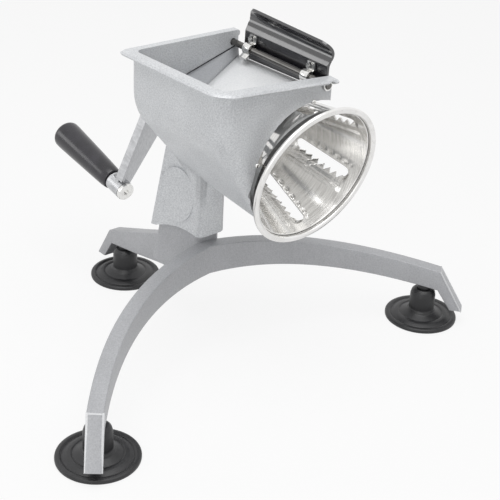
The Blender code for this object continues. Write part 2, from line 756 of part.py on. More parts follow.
def add_crank(frame):
    plan, lean = arm_plan()
    back = ARM_START + ARM_THICKNESS
    arm = add_part(
        "crank_arm",
        lofted([[Vector((x, y, z)) for x, y in plan] for z in (ARM_START, back)]),
        "cast_aluminium",
        frame,
    )
    eye = rod_shape(ARM_EYE_RADIUS, ARM_EYE_START, ARM_EYE_END, 28)
    join(arm, moved(eye, Matrix.Translation((CRANK_RADIUS, 0, 0))), "arm_eye_shape")
    along = Vector((math.cos(lean), -math.sin(lean), 0))
    inward = Vector((-math.sin(lean), -math.cos(lean), 0))
    outer = Vector((math.sin(lean), math.cos(lean), 0)) * ARM_HUB_RADIUS
    low = Vector((0, 0, ARM_START - ARM_RIB_HEIGHT))
    high = Vector((0, 0, back - 0.001))
    across = inward * ARM_RIB_WIDTH
    rib = []
    for share in (0.0, 0.93):
        start = outer + along * (CRANK_RADIUS * share)
        rib.append([start + low, start + across + low, start + across + high, start + high])
    join(arm, lofted(rib), "arm_rib_shape")
    cut(arm, rod_shape(SHAFT_RADIUS + GAP, ARM_START - 0.02, back + 0.02), "arm_bore_cutter")
    spindle_bore = rod_shape(SPINDLE_RADIUS + GAP, ARM_EYE_START - 0.02, ARM_EYE_END + 0.02, 20)
    cut(arm, moved(spindle_bore, Matrix.Translation((CRANK_RADIUS, 0, 0))), "spindle_bore_cutter")
    washer = tube_shape(0.0105, SHAFT_RADIUS + GAP, back + GAP, back + GAP + 0.0012)
    add_part("crank_washer", washer, "plated_steel", frame)
    nut_front = back + 2 * GAP + 0.0012
    add_hex_nut("crank_nut", 0.0088, SHAFT_RADIUS + GAP, nut_front, nut_front + 0.0070, frame, dome=0.0040)


def grip_radius(share):
    """Radius along the grip, slightly fuller towards its far end."""
    return between(GRIP_NEAR_RADIUS, GRIP_FAR_RADIUS, share**0.85)


def add_handle(frame, grip_frame):
    """The spindle through the arm's eye, and the grip that spins on it. Both use the grip's own axis."""
    head = ARM_EYE_START - GAP
    nut_seat = ARM_EYE_END + GRIP_LENGTH - 0.010
    spindle = [
        (0, head - 0.0026 + 0.0018),
        (0.0024, head - 0.0026 + 0.0018),
        (0.0024, head - 0.0026),
        (ARM_EYE_RADIUS - 0.0006, head - 0.0026),
        (ARM_EYE_RADIUS - 0.0002, head - 0.0020),
        (ARM_EYE_RADIUS - 0.0002, head),
        (SPINDLE_RADIUS, head),
        (SPINDLE_RADIUS, nut_seat + 0.0035),
        (0, nut_seat + 0.0035),
    ]
    add_part("handle_spindle", turned(spindle, 28), "plated_steel", grip_frame)
    washer_back = ARM_EYE_END + GAP + 0.0008
    washer = tube_shape(0.0072, SPINDLE_RADIUS + GAP, ARM_EYE_END + GAP, washer_back)
    add_part("grip_washer", washer, "plated_steel", grip_frame)
    near = washer_back + GAP
    far = ARM_EYE_END + GRIP_LENGTH
    bore = SPINDLE_RADIUS + 2 * GAP
    pocket = 0.0062
    outline = [(bore, near), (GRIP_NEAR_RADIUS - 0.0012, near), (GRIP_NEAR_RADIUS - 0.0002, near + 0.0010)]
    for i in range(1, 7):
        share = i / 6
        outline.append((grip_radius(share), between(near, far - 0.004, share)))
    outline += [(GRIP_FAR_RADIUS - 0.0012, far - 0.0012), (GRIP_FAR_RADIUS - 0.0038, far)]
    outline += [(pocket, far), (pocket, nut_seat), (bore, nut_seat)]
    add_part("handle_grip", turned(outline, 28, closed=True), "black_plastic", grip_frame)
    nut = tube_shape(0.0052, SPINDLE_RADIUS + GAP, nut_seat + GAP, nut_seat + 0.0030, 16)
    add_part("spindle_nut", nut, "plated_steel", grip_frame)
    cap = [
        (0, far - 0.0050),
        (pocket - GAP, far - 0.0050),
        (pocket - GAP, far + 0.0001),
        (0.0040, far + 0.0007),
        (0, far + 0.0009),
    ]
    add_part("grip_end_cap", turned(cap, 24), "black_plastic", grip_frame)


def strip(path, thickness):
    """Outline of a bent strip of even thickness whose middle follows the path."""
    one_side = []
    other_side = []
    for i, point in enumerate(path):
        before = path[max(i - 1, 0)]
        after = path[min(i + 1, len(path) - 1)]
        heading = (after - before).normalized()
        side = Vector((heading.y, -heading.x)) * (0.5 * thickness)
        one_side.append(point - side)
        other_side.append(point + side)
    return [*one_side, *reversed(other_side)]


def extruded_along_y(outline, start, end):
    """A prism between two y values. The outline holds (x, z) points."""
    return lofted([[Vector((x, y, z)) for x, z in outline] for y in (start, end)])


def guard_path(rise, low):
    """The hand guard's curve in x and z from its lower edge. rise scales the height of its curved part."""
    bulge = circle_arc((-0.0002, 0.0109), 0.0100, math.radians(-40), math.radians(45), 6)
    curved = [*bulge, (0.0048, 0.0204)]
    lower = [Vector((GUARD_OFFSET, low)), Vector((GUARD_OFFSET, GUARD_STRAIGHT))]
    return [*lower, *(Vector((x, GUARD_STRAIGHT + rise * z)) for x, z in curved)]


def clip_path():
    """The clip's curve: down the guard's inner face, over the rod and round it, ending in a flared tail."""
    middle = ROD_RADIUS + GAP + 0.5 * CLIP_THICKNESS
    plate = [Vector((middle, 0.0104)), Vector((middle, 0.0050)), Vector((0.83 * middle, 0.0040))]
    wrap = circle_arc((0, 0), middle, math.radians(65), math.radians(235), 12)
    tail = [Vector((-0.0038, -0.0046)), Vector((-0.0058, -0.0061))]
    return [*plate, *(Vector(point) for point in wrap), *tail]


def add_guard(hinge):
    """The hand guard and the two hook clips that carry it, each with a screw and a nut."""
    ends = (
        ("front", GUARD_FRONT, 1, guard_path(GUARD_FRONT_RISE, GUARD_FRONT_LOW)),
        ("rear", GUARD_REAR, -1, guard_path(GUARD_REAR_RISE, GUARD_REAR_LOW)),
    )
    sections = []
    for _, y, _, path in ends:
        sections.append([Vector((x, y, z)) for x, z in strip(path, GUARD_THICKNESS)])
    guard = add_part("hand_guard", lofted(sections), "black_plastic", hinge)
    for name, end, inward, path in ends:
        top = path[-1].y
        centre = (end + inward * GUARD_CORNER, top - GUARD_CORNER)
        arc = circle_arc(centre, GUARD_CORNER, 0.5 * math.pi, math.pi if inward > 0 else 0.0, 7)
        past_end = end - inward * 0.004
        past_top = top + 0.004
        outline = [(centre[0], past_top), *arc, (past_end, centre[1]), (past_end, past_top)]
        sections = [[Vector((x, y, z)) for y, z in outline] for x in (-0.01, 0.02)]
        cut(guard, lofted(sections), f"guard_{name}_corner_cutter")
    for name, middle in CLIP_PLACES.items():
        half = 0.5 * CLIP_WIDTH
        clip_shape = extruded_along_y(strip(clip_path(), CLIP_THICKNESS), middle - half, middle + half)
        clip = add_part(f"{name}_hinge_clip", clip_shape, "plated_steel", hinge)
        across = Matrix.Translation((0, middle, CLIP_SCREW_HEIGHT)) @ Matrix.Rotation(math.pi / 2, 4, "Y")
        for part, label in ((clip, "clip"), (guard, "guard")):
            hole = rod_shape(CLIP_SCREW_RADIUS + GAP, -0.002, 0.016, 14)
            cut(part, moved(hole, across), f"{name}_{label}_hole_cutter")
        add_clip_screw(name, across, hinge)


def add_clip_screw(name, across, hinge):
    """A screw from the outside of the guard, through guard and clip, into a nut on the clip."""
    guard_face = GUARD_OFFSET + 0.5 * GUARD_THICKNESS + GAP
    clip_face = ROD_RADIUS
    nut_start = clip_face - 0.0024
    screw = [
        (0, nut_start - 0.0006),
        (CLIP_SCREW_RADIUS, nut_start - 0.0006),
        (CLIP_SCREW_RADIUS, guard_face),
        (0.0028, guard_face),
        (0.0025, guard_face + 0.0010),
        (0, guard_face + 0.0015),
    ]
    add_part(f"{name}_clip_screw", moved(turned(screw, 14), across), "plated_steel", hinge)
    bore = CLIP_SCREW_RADIUS + GAP
    add_hex_nut(f"{name}_clip_nut", 0.0026, bore, nut_start, clip_face, hinge, across)


def add_rod(rod_frame):
    """The fixed rod through the hopper's front and rear walls, with a cap pressed on each end."""
    turn = Matrix.Rotation(math.pi / 2, 4, "X")
    rod = moved(rod_shape(ROD_RADIUS, -ROD_REAR, -ROD_FRONT, 20), turn)
    add_part("hinge_rod", rod, "polished_steel", rod_frame)
    for name, start, end in (
        ("front", -HOPPER_FRONT, -HOPPER_FRONT + 0.0018),
        ("rear", -HOPPER_REAR - 0.0018, -HOPPER_REAR),
    ):
        cap = tube_shape(ROD_CAP_RADIUS, ROD_RADIUS + GAP, start, end, 20)
        add_part(f"rod_cap_{name}", moved(cap, turn), "plated_steel", rod_frame)


def main():
    clear_scene()
    root = frame_at("shredder_frame", None, location=(0, FRAME_SHIFT_Y, 0))
    axis = frame_at("shaft_axis", root, MOUTH_CENTRE, (AXIS_TILT - math.pi / 2, 0, 0))
    crank = frame_at("crank_axis", axis, rotation=(0, 0, -CRANK_ANGLE))
    grip = frame_at("grip_axis", crank, location=(CRANK_RADIUS, 0, 0))
    rod_frame = frame_at("rod_frame", root, ROD_CENTRE, (ROD_TILT, 0, 0))
    hinge = frame_at("guard_hinge", rod_frame)
    add_hopper(root, axis, rod_frame)
    add_base(root)
    add_column_bolt(root)
    add_feet(root)
    add_cone(axis)
    add_shaft(axis)
    add_bushes(axis)
    add_crank(crank)
    add_handle(crank, grip)
    add_guard(hinge)
    add_rod(rod_frame)


main()
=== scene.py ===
# %% [markdown]
# # A hand-cranked vegetable shredder
# The shredder is a cast hopper on a three-legged stand. A slotted steel cone turns in the hopper, a
# crank turns the cone, and a hinged hand guard presses the food down. The solid model comes from a
# packed file and stays where it is. This lesson dresses it: each visible piece gets a finer surface, a
# real finish, or both.

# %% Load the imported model
import json
import math

import bmesh
import bpy
import numpy as np
from mathutils import Matrix


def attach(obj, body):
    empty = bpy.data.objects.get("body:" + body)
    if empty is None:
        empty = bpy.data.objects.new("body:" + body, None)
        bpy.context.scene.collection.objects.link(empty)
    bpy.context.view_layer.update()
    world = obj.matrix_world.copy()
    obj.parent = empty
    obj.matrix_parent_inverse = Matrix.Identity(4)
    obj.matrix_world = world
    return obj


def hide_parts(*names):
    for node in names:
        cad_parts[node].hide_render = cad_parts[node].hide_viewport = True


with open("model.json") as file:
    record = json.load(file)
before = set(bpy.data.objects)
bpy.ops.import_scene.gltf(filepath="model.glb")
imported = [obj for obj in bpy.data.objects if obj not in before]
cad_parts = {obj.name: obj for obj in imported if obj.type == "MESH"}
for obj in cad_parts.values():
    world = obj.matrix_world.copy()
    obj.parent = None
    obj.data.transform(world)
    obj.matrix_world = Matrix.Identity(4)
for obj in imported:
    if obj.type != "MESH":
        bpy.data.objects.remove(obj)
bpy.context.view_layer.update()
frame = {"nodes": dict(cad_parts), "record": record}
MM = 0.001

# %% [markdown]
# ## Surfaces from grids
# A mesh can be made by hand in the editor, by modifiers on a simple shape, or from numbers. Most pieces
# of this machine are turned or bent from one outline, so a grid of points from numpy fits them best:
# each row of the grid is one outline. Two small functions make the faces of a grid and join several
# surfaces into one.


# %% Faces of a grid
def grid_faces(rows, columns, closed=False):
    """Quads of a grid: point (i, j) is number i * columns + j. If closed, last and first column meet."""
    below = np.arange(rows - 1)[:, None] * columns
    above = below + columns
    left = np.arange(columns if closed else columns - 1)[None, :]
    right = (left + 1) % columns
    return np.stack([below + left, below + right, above + right, above + left], axis=-1).reshape(-1, 4)


def together(*surfaces):
    """One (points, faces) pair from several, each later one's face numbers moved past the earlier points."""
    counts = np.cumsum([0] + [len(points) for points, _ in surfaces[:-1]])
    points = np.concatenate([points for points, _ in surfaces])
    faces = np.concatenate([faces + count for (_, faces), count in zip(surfaces, counts)])
    return points, faces


print("faces of a closed grid of 3 by 4 points:", len(grid_faces(3, 4, closed=True)))

# %% [markdown]
# ## From a surface to a finished piece
# A bare grid has open seams, faces that may point inwards, and flat shading. One function mends these
# the same way for every piece, so no piece can miss a step. It also joins the piece to its body, hides
# the solid that the piece stands for, and notes its finish. Thickness and rounded edges come from
# modifiers, which leave the grid simple.

# %% Pieces
finish_of = {}


def finish_piece(name, mesh, body, node, slot, finish=None, smooth=35, bevel=0.0, wall=0.0, wall_side=0.0):
    """Closes seams and poles, turns faces outwards, and keeps edges over the smooth angle sharp."""
    shape = bmesh.new()
    shape.from_mesh(mesh)
    bmesh.ops.remove_doubles(shape, verts=shape.verts, dist=0.002 * MM)
    bmesh.ops.dissolve_degenerate(shape, edges=shape.edges, dist=0.001 * MM)
    bmesh.ops.recalc_face_normals(shape, faces=shape.faces)
    shape.to_mesh(mesh)
    shape.free()
    mesh.shade_smooth()
    mesh.set_sharp_from_angle(angle=math.radians(smooth))
    piece = bpy.data.objects.new(name, mesh)
    bpy.context.scene.collection.objects.link(piece)
    if wall:
        thickness = piece.modifiers.new("wall", "SOLIDIFY")
        thickness.thickness = wall
        thickness.offset = wall_side
    if bevel:
        rounding = piece.modifiers.new("rounded edges", "BEVEL")
        rounding.width = bevel
        rounding.segments = 2
        rounding.limit_method = "ANGLE"
        rounding.angle_limit = math.radians(smooth)
    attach(piece, body)
    if node:
        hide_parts(node)
    finish_of[name] = finish or slot
    print(name, "has", len(mesh.vertices), "points")
    return piece


def make_piece(name, surface, body, node, slot, **choices):
    """A finished piece from a (points, faces) pair."""
    points, faces = surface
    mesh = bpy.data.meshes.new(name)
    mesh.from_pydata(points.tolist(), [], faces.tolist())
    return finish_piece(name, mesh, body, node, slot, **choices)


print("pieces are finished with the sharp angle at 35 degrees, unless one needs another")

# %% [markdown]
# ## Outlines with rounded corners
# Cast, moulded and turned parts have no perfectly sharp corners, and the small radius on an edge is
# what catches the light. A bevel could round a finished mesh, but it fails where edges lie close
# together. So each outline is written as a few corner points, and one function rounds them before the
# surface is made.

# %% Rounded outlines, turning and sweeping
SIDE = np.array((1.0, 0.0, 0.0))
UP = np.array((0.0, 0.0, 1.0))


def rounded(corners, radius, steps=4, closed=False):
    """Replaces each corner by a curve: (1-t)^2 a + 2t(1-t) c + t^2 b, where c is the corner, and a and b lie
    on its two edges at the radius from it, or at the edge's middle where the edge is short."""
    corners = np.asarray(corners, dtype=float)
    before = np.roll(corners, 1, axis=-2)
    after = np.roll(corners, -1, axis=-2)
    if not closed:
        before[..., 0, :] = corners[..., 0, :]
        after[..., -1, :] = corners[..., -1, :]

    def towards(other):
        gap = other - corners
        length = np.linalg.norm(gap, axis=-1, keepdims=True)
        reach = np.minimum(radius, 0.5 * length)
        return corners + gap * reach / np.maximum(length, 1e-12)

    a = towards(before)[..., None, :]
    b = towards(after)[..., None, :]
    t = np.linspace(0, 1, steps)[:, None]
    curve = (1 - t) ** 2 * a + 2 * t * (1 - t) * corners[..., None, :] + t**2 * b
    return curve.reshape(*corners.shape[:-2], -1, corners.shape[-1])


def turned(profile, origin, along, steps=72):
    """Turns (radius, height) points about an axis: origin + height * along + radius * (cos a, sin a)."""
    third = np.cross(along, SIDE)
    angle = np.linspace(0, 2 * np.pi, steps, endpoint=False)
    spoke = np.cos(angle)[:, None] * SIDE + np.sin(angle)[:, None] * third
    profile = np.asarray(profile, dtype=float)
    height = profile[:, 1, None, None]
    radius = profile[:, 0, None, None]
    points = np.asarray(origin) + height * along + radius * spoke
    return points.reshape(-1, 3), grid_faces(len(profile), steps, closed=True)


def swept(sections):
    """A closed bar through loops of equal counts of points. Each end closes on its last loop's middle."""
    sections = np.asarray(sections)
    first = np.broadcast_to(sections[:1].mean(axis=1, keepdims=True), sections[:1].shape)
    last = np.broadcast_to(sections[-1:].mean(axis=1, keepdims=True), sections[-1:].shape)
    loops = np.concatenate([first, sections, last])
    return loops.reshape(-1, 3), grid_faces(*loops.shape[:2], closed=True)


square = rounded([(0, 0), (1, 0), (1, 1), (0, 1)], 0.1, closed=True)
print("a square with rounded corners has", len(square), "points")

# %% [markdown]
# ## Measures shared by several pieces
# The solid model gives these places, in metres. The shaft leans, so its axis is kept as a direction,
# and so is the hinge's. Pieces are worked out along these directions, which is simpler than turning
# them afterwards.

# %% Measures
SHAFT = np.array((0.0, 0.975149, 0.221548))
SHAFT_DOWN = np.array((0.0, 0.221548, -0.975149))
MOUTH = np.array((0.036, -0.120694, 0.1569))
GRIP_BASE = np.array((-0.006287, -0.096288, 0.049475))
SHIFT_Y = -0.016194  # the column's middle lies this far in front of the model's origin
HINGE = np.array((0.047, SHIFT_Y, 0.226))
HINGE_ALONG = np.array((0.0, 0.99956, 0.02967))
HINGE_UP = np.array((0.0, -0.02967, 0.99956))
FEET = {
    "left": (-0.1625, -0.113 + SHIFT_Y, 0.0275),
    "right": (0.1625, -0.113 + SHIFT_Y, 0.0275),
    "rear": (0.0, 0.090 + SHIFT_Y, 0.0265),
}
print("the shaft leans by", round(math.degrees(math.asin(SHAFT[2])), 1), "degrees")

# %% [markdown]
# ## Suction feet
# Each foot is one rubber moulding: a thin disc with a raised rim, a shallow groove inside the rim, a
# cone that rises to the middle, and a stem that goes up to the leg. Stacked cylinders would leave seams
# where they meet. The foot is round all over, so one outline, turned about its middle, gives every
# groove in one surface. A short rubber pad fills the place between stem and leg.


# %% Suction feet
def foot_outline(top):
    """Radius and height in mm, from the hollow underside over rim, groove and stem to the stud's hole."""
    return np.array([
        (0, 4.2), (17, 3.2), (27.5, 0), (29.6, 0), (30.0, 0.6), (30.0, 2.4), (29.3, 3.3), (27.0, 3.7),
        (26.0, 3.3), (25.2, 2.6), (24.2, 3.2), (21.5, 4.4), (18.6, 4.8), (18.0, 4.2), (17.2, 4.5),
        (12.9, 6.6), (11.9, 7.2), (11.7, 8.1), (10.9, 8.7), (10.5, 9.6), (10.5, top - 5.5), (9.6, top - 2.2),
        (7.4, top), (3.6, top), (3.6, 12.0), (0, 12.0),
    ])


PAD_OUTLINE = np.array([(0, 0.3), (5.75, 0.3), (5.75, 9.0), (0, 9.0)])  # in mm, from the stem's top
for side, (foot_x, foot_y, stem_top) in FEET.items():
    place = (foot_x, foot_y, 0)
    outline = rounded(foot_outline(stem_top / MM) * MM, 0.5 * MM, 3)
    foot = turned(outline, place, UP, steps=96)
    make_piece(f"{side}_rubber_foot", foot, "stand", f"{side}_suction_cup", "rubber", smooth=40)
    pad = turned(rounded(PAD_OUTLINE * MM + (0, stem_top), 0.3 * MM, 3), place, UP, steps=48)
    make_piece(f"{side}_foot_pad", pad, "stand", None, "rubber", smooth=40)

# %% [markdown]
# ## The stand's legs
# The stand is one casting. Its two front legs are a single curved bar that arches from foot to foot,
# and the rear leg meets it under the column. A bent box would kink where the curve is tight. So a
# four-cornered section with small radii is carried along a smooth curve, and past the foot each leg
# bends down to a flat tip.

# %% Measures of the legs
LEG_HALF = 6.0 * MM
LEG_EDGE = 1.3 * MM
LEG_START = np.array((0.0, -0.023))
LEG_CONTROL = np.array((0.0938, -0.0312))
FOOT_PLAN = np.array((0.1625, -0.113))
KNEE_PAST_FOOT = 0.0125
LEG_HEIGHTS = np.array((0.0790, 0.0720, 0.0465))
LEG_DEPTHS = np.array((0.0245, 0.0195, 0.0175))
TIP_STEP = np.array((0.0129, -0.0166))
TIP_HEIGHT = 0.0123
TIP_THICKNESS = 0.0105
knee = FOOT_PLAN + (FOOT_PLAN - LEG_CONTROL) / np.linalg.norm(FOOT_PLAN - LEG_CONTROL) * KNEE_PAST_FOOT
print("knee of the right leg:", knee.round(4))


# %% Front legs
def leg_loops(place, heading, top_reach, top_height, low_reach, low_height):
    """Loops of four corners: place + heading * reach, half a leg's width to both sides, top pair first."""
    side = np.stack([heading[:, 1], -heading[:, 0]], axis=1) * LEG_HALF

    def corner(reach, height, sign):
        plan = place + heading * reach[:, None] + side * sign
        return np.column_stack([plan[:, 0], plan[:, 1] + SHIFT_Y, height])

    corners = [
        corner(top_reach, top_height, 1),
        corner(top_reach, top_height, -1),
        corner(low_reach, low_height, -1),
        corner(low_reach, low_height, 1),
    ]
    return rounded(np.stack(corners, axis=1), LEG_EDGE, 4, closed=True)


def front_leg_loops(count=40):
    """One front leg from the middle to its tip, along (1-t)^2 start + 2t(1-t) control + t^2 knee."""
    t = np.linspace(0, 1, count)
    weights = np.column_stack([(1 - t) ** 2, 2 * t * (1 - t), t**2])
    place = weights @ np.stack([LEG_START, LEG_CONTROL, knee])
    heading = (1 - t)[:, None] * (LEG_CONTROL - LEG_START) + t[:, None] * (knee - LEG_CONTROL)
    heading /= np.linalg.norm(heading, axis=1, keepdims=True)
    height = weights @ LEG_HEIGHTS
    depth = weights @ LEG_DEPTHS
    loops = leg_loops(place, heading, np.zeros(count), height, -0.001 * t**4, height - depth)
    reach = np.linalg.norm(TIP_STEP)
    tip_reach = np.array([reach])
    tip_height = np.array([TIP_HEIGHT])
    tip_heading = TIP_STEP[None] / reach
    tip = leg_loops(knee[None], tip_heading, tip_reach, tip_height, tip_reach - TIP_THICKNESS, tip_height)
    return np.concatenate([loops, tip])


right_loops = front_leg_loops()
left_loops = right_loops[:0:-1] * (-1, 1, 1)
front_bar = swept(np.concatenate([left_loops, right_loops]))
print("the front bar has", len(front_bar[0]), "points")

# %% [markdown]
# ## Rear leg and boss
# The rear leg is straight in plan and drops in four slopes, so two short outlines, one for its top and
# one for its underside, are enough. A boss joins legs and column. It keeps the column's tapered plan,
# drawn in a little, so that the shadow line between column and stand shows as it does on the real one.

# %% Rear leg and the boss under the column
rear_top = np.array([(0, 74.0), (25, 65.0), (57, 53.0), (96.5, 38.5), (114, 10.3)]) * MM
rear_low = np.array([(0, 42.0), (25, 38.5), (57, 32.5), (92.5, 27.0), (103.5, 10.3)]) * MM
rear_place = np.tile((0.0, 0.010), (5, 1))
rear_heading = np.tile((0.0, 1.0), (5, 1))
rear_bar = swept(leg_loops(rear_place, rear_heading, *rear_top.T, *rear_low.T))

COLUMN_FOOT = 0.085
COLUMN_HEIGHT = 0.067
COLUMN_MIDDLE_X = 0.0053
BOSS_INSET = 3.5 * MM
BOSS_CORNER = 4.5 * MM
BOSS_ENDS = (0.0545, 0.0947)


def boss_loop(z):
    """Plan of the boss at height z: the column's plan, wide at the rear and narrow at the front, drawn in on
    all sides. Its rear half width and depth shrink in a straight line as z rises."""
    taper = (z - COLUMN_FOOT) / COLUMN_HEIGHT
    rear_half = 0.0277 - 0.0084 * taper - BOSS_INSET
    rear = 0.021 - 0.007 * taper - BOSS_INSET
    front_half = 0.0133 - BOSS_INSET
    front = BOSS_INSET - 0.0225
    plan = np.array([(-front_half, front), (front_half, front), (rear_half, rear), (-rear_half, rear)])
    loop = rounded(plan, BOSS_CORNER, 5, closed=True)
    return np.column_stack([loop[:, 0] + COLUMN_MIDDLE_X, loop[:, 1] + SHIFT_Y, np.full(len(loop), z)])


boss = swept([boss_loop(z) for z in BOSS_ENDS])
stand = together(front_bar, rear_bar, boss)
make_piece("stand_casting", stand, "stand", "tripod_base", "base_paint", smooth=30)

# %% [markdown]
# ## The slotted cone
# The drum is thin steel, drawn to a cone, punched with six long slots and rolled to a round bead at its
# mouth. One side of each slot is cut into teeth, which are pressed outwards. Cutting slots from a
# turned cone would leave ragged faces round them. So the wall is worked out in six equal sectors. In
# each, a ring-shaped grid runs from the slot's edge out to the sector's border, so that the faces
# follow the teeth.

# %% Measures of the cone
CONE_MOUTH_RADIUS = 53.4 * MM
CONE_SLOPE = 0.30
BEAD_DEPTH = 4 * MM
WALL_MIDDLE = 54 * MM
WALL_HALF_LENGTH = 50 * MM
WALL_THICKNESS = 1.2 * MM
SLOTS = 6
SLOT_HALF_LENGTH = 24.5 * MM
SLOT_HALF_WIDTH = 3.8 * MM
SLOT_MIDDLE = 35.5 * MM
ALONG_WALL = 0.958  # distance along the shaft for each unit along the sloping wall
TEETH = 7
TOOTH_DEPTH = 4.2 * MM
TOOTH_LIFT = 1.3 * MM
RIB_PLACE = 14.5 * MM
RIB_HEIGHT = 0.8 * MM
RIB_WIDTH = 1.1 * MM
SCALLOP_PLACE = -6.6 * MM
SCALLOP_HEIGHT = 0.45 * MM
SCALLOP_WIDTH = 1.3 * MM
PRESS_FADE = 3 * MM


def cone_radius(s):
    """Outer radius at distance s behind the mouth: it falls by the slope for each unit behind the bead."""
    return CONE_MOUTH_RADIUS - CONE_SLOPE * (s - BEAD_DEPTH)


print("the wall narrows to a radius of", round(cone_radius(WALL_MIDDLE + WALL_HALF_LENGTH) / MM, 1), "mm")


# %% Wall of the cone
def pressed_shape(across, s):
    """How far the press moved the wall outwards, from the distance across a slot's middle and from s. The
    teeth rise in a straight line to their tips. A rib beside them goes inwards as a bell curve, and the
    slot's far edge has scallops, a cosine wave under a bell curve. All fades past the slot's ends."""
    past_edge = (SLOT_HALF_WIDTH + TOOTH_DEPTH - across) / TOOTH_DEPTH
    tooth = TOOTH_LIFT * np.clip(past_edge, 0, 1) * (across > 0)
    rib = RIB_HEIGHT * np.exp(-(((across - RIB_PLACE) / RIB_WIDTH) ** 2))
    wave = 0.5 - 0.5 * np.cos(2 * np.pi * TEETH * (s - SLOT_MIDDLE) / (2 * SLOT_HALF_LENGTH))
    scallop = SCALLOP_HEIGHT * wave * np.exp(-(((across - SCALLOP_PLACE) / SCALLOP_WIDTH) ** 2))
    window = np.clip((SLOT_HALF_LENGTH * 1.02 - np.abs(s - SLOT_MIDDLE)) / PRESS_FADE, 0, 1)
    return (tooth - rib + scallop) * window * window * (3 - 2 * window)


def cone_sector(middle, rows=26, side_points=85, end_points=13):
    """One sixth of the wall. A point blends from the slot's edge to the border, both found from one place on
    a square's edge. The teeth are the gaps between notches, a triangle wave along one long side."""
    side = np.linspace(-1, 1, side_points)
    end = np.linspace(-1, 1, end_points + 2)[1:-1]
    along = np.concatenate([side, np.ones(end_points), side[::-1], -np.ones(end_points)])
    across = np.concatenate([np.full(side_points, -1.0), end, np.ones(side_points), end[::-1]])
    turn = across * np.pi / 2
    is_side = np.abs(across) == 1
    straight = SLOT_HALF_LENGTH - SLOT_HALF_WIDTH
    slot_u = along * np.where(is_side, straight, straight + SLOT_HALF_WIDTH * np.cos(turn))
    notch = np.where(across == 1, 1 - np.abs(2 * ((along * 0.5 + 0.5) * TEETH % 1) - 1), 0)
    slot_v = SLOT_HALF_WIDTH * np.where(is_side, across, np.sin(turn)) + TOOTH_DEPTH * notch
    slot_s = SLOT_MIDDLE + slot_u * ALONG_WALL
    slot_angle = slot_v / cone_radius(slot_s)
    border_s = WALL_MIDDLE + WALL_HALF_LENGTH * along
    border_angle = across * np.pi / SLOTS
    blend = (np.linspace(0, 1, rows) ** 1.5)[:, None]
    s = (1 - blend) * slot_s + blend * border_s
    angle = (1 - blend) * slot_angle + blend * border_angle
    radius = cone_radius(s)
    radius = radius + pressed_shape(angle * radius, s)
    angle = angle + middle
    spoke = np.cos(angle)[..., None] * SIDE + np.sin(angle)[..., None] * SHAFT_DOWN
    points = MOUTH + s[..., None] * SHAFT + radius[..., None] * spoke
    return points.reshape(-1, 3), grid_faces(rows, s.shape[1], closed=True)


FIRST_SLOT = 20
wall = together(*[cone_sector(math.radians(FIRST_SLOT - 360 / SLOTS * number)) for number in range(SLOTS)])
make_piece(
    "steel_cone_wall", wall, "cone", "shredding_cone", "polished_steel",
    smooth=50, wall=WALL_THICKNESS, wall_side=-1,
)

# %% [markdown]
# ## Ends of the cone
# The mouth's edge is rolled to a bead, which gives a bright ring. Behind it a thin skin on the wall is a
# dark collar of painted shade, for the hopper's shaded mouth mirrored in the steel. At the small end a
# flat plate with a hole takes the hub. All are round, so their outlines are turned about the shaft.

# %% Bead, end plate and collar
BEAD = np.array([
    (53.2, 4.2), (52.9, 1.6), (53.6, 0.3), (55.4, 0.0), (57.2, 0.3), (57.9, 1.5), (57.8, 3.0), (56.4, 4.0),
])
bead_profile = rounded(BEAD * MM, 1.2 * MM, 5, closed=True)
bead_surface = turned(np.vstack([bead_profile, bead_profile[:1]]), MOUTH, SHAFT, 120)
make_piece(
    "steel_cone_bead", bead_surface, "cone", "shredding_cone", "polished_steel", finish="rim", smooth=50
)

END_PLATE = np.array([(9.0, 101.8), (22.4, 101.8), (23.4, 103.4), (22.6, 104.0), (9.0, 104.0), (9.0, 101.8)])
end_surface = turned(rounded(END_PLATE * MM, 0.3 * MM, 3), MOUTH, SHAFT, 96)
make_piece("steel_cone_end", end_surface, "cone", "shredding_cone", "polished_steel", smooth=50)

# The collar is a thin skin over the wall, and its dark finish is painted shade.
collar_s = np.linspace(3.6, 10.6, 8) * MM
collar_outside = np.column_stack([cone_radius(collar_s) + 0.15 * MM, collar_s])
collar_inside = collar_outside[::-1] - (0.3 * MM, 0)
collar_surface = turned(np.vstack([collar_outside, collar_inside, collar_outside[:1]]), MOUTH, SHAFT, 120)
make_piece(
    "cone_collar_painted_shade", collar_surface, "cone", "shredding_cone", "polished_steel",
    finish="shade_darkened_steel", smooth=50,
)

# %% [markdown]
# ## Grip
# The grip is a moulded black sleeve, a little fuller towards its free end, with a recess there for the
# nut. A cylinder with moved rings would do, but the fullness is a smooth curve, so it is written as
# one: the radius grows with the length to the power 0.85. The outline is turned about the spindle.

# %% Grip
share = np.linspace(0, 1, 24)
grip_side = np.column_stack([9.4 + 3.2 * share**0.85, 183.4 + 72.0 * share])
grip_start = [(3.6, 183.4), (8.2, 183.4), (9.1, 183.9)]
grip_end = [
    (12.5, 257.0), (11.6, 259.0), (9.4, 260.0), (6.4, 260.1), (6.2, 259.6), (6.2, 250.2), (3.6, 250.2),
    (3.6, 183.4),
]
grip_profile = np.vstack([grip_start, grip_side[2:-1], grip_end])
grip_surface = turned(rounded(grip_profile * MM, 0.8 * MM, 3), GRIP_BASE, SHAFT, 72)
make_piece("moulded_grip", grip_surface, "grip", "handle_grip", "black_plastic", smooth=40)

# %% [markdown]
# ## Hand guard
# The guard is a strip of black sheet with rounded upper corners. Its section is straight at the bottom,
# bulges, and flares at the top. It rises a little more at the rear. A curve could be extruded and cut,
# but the corners and the slope come out cleaner when the sheet's height is a function of the place
# along the rod.

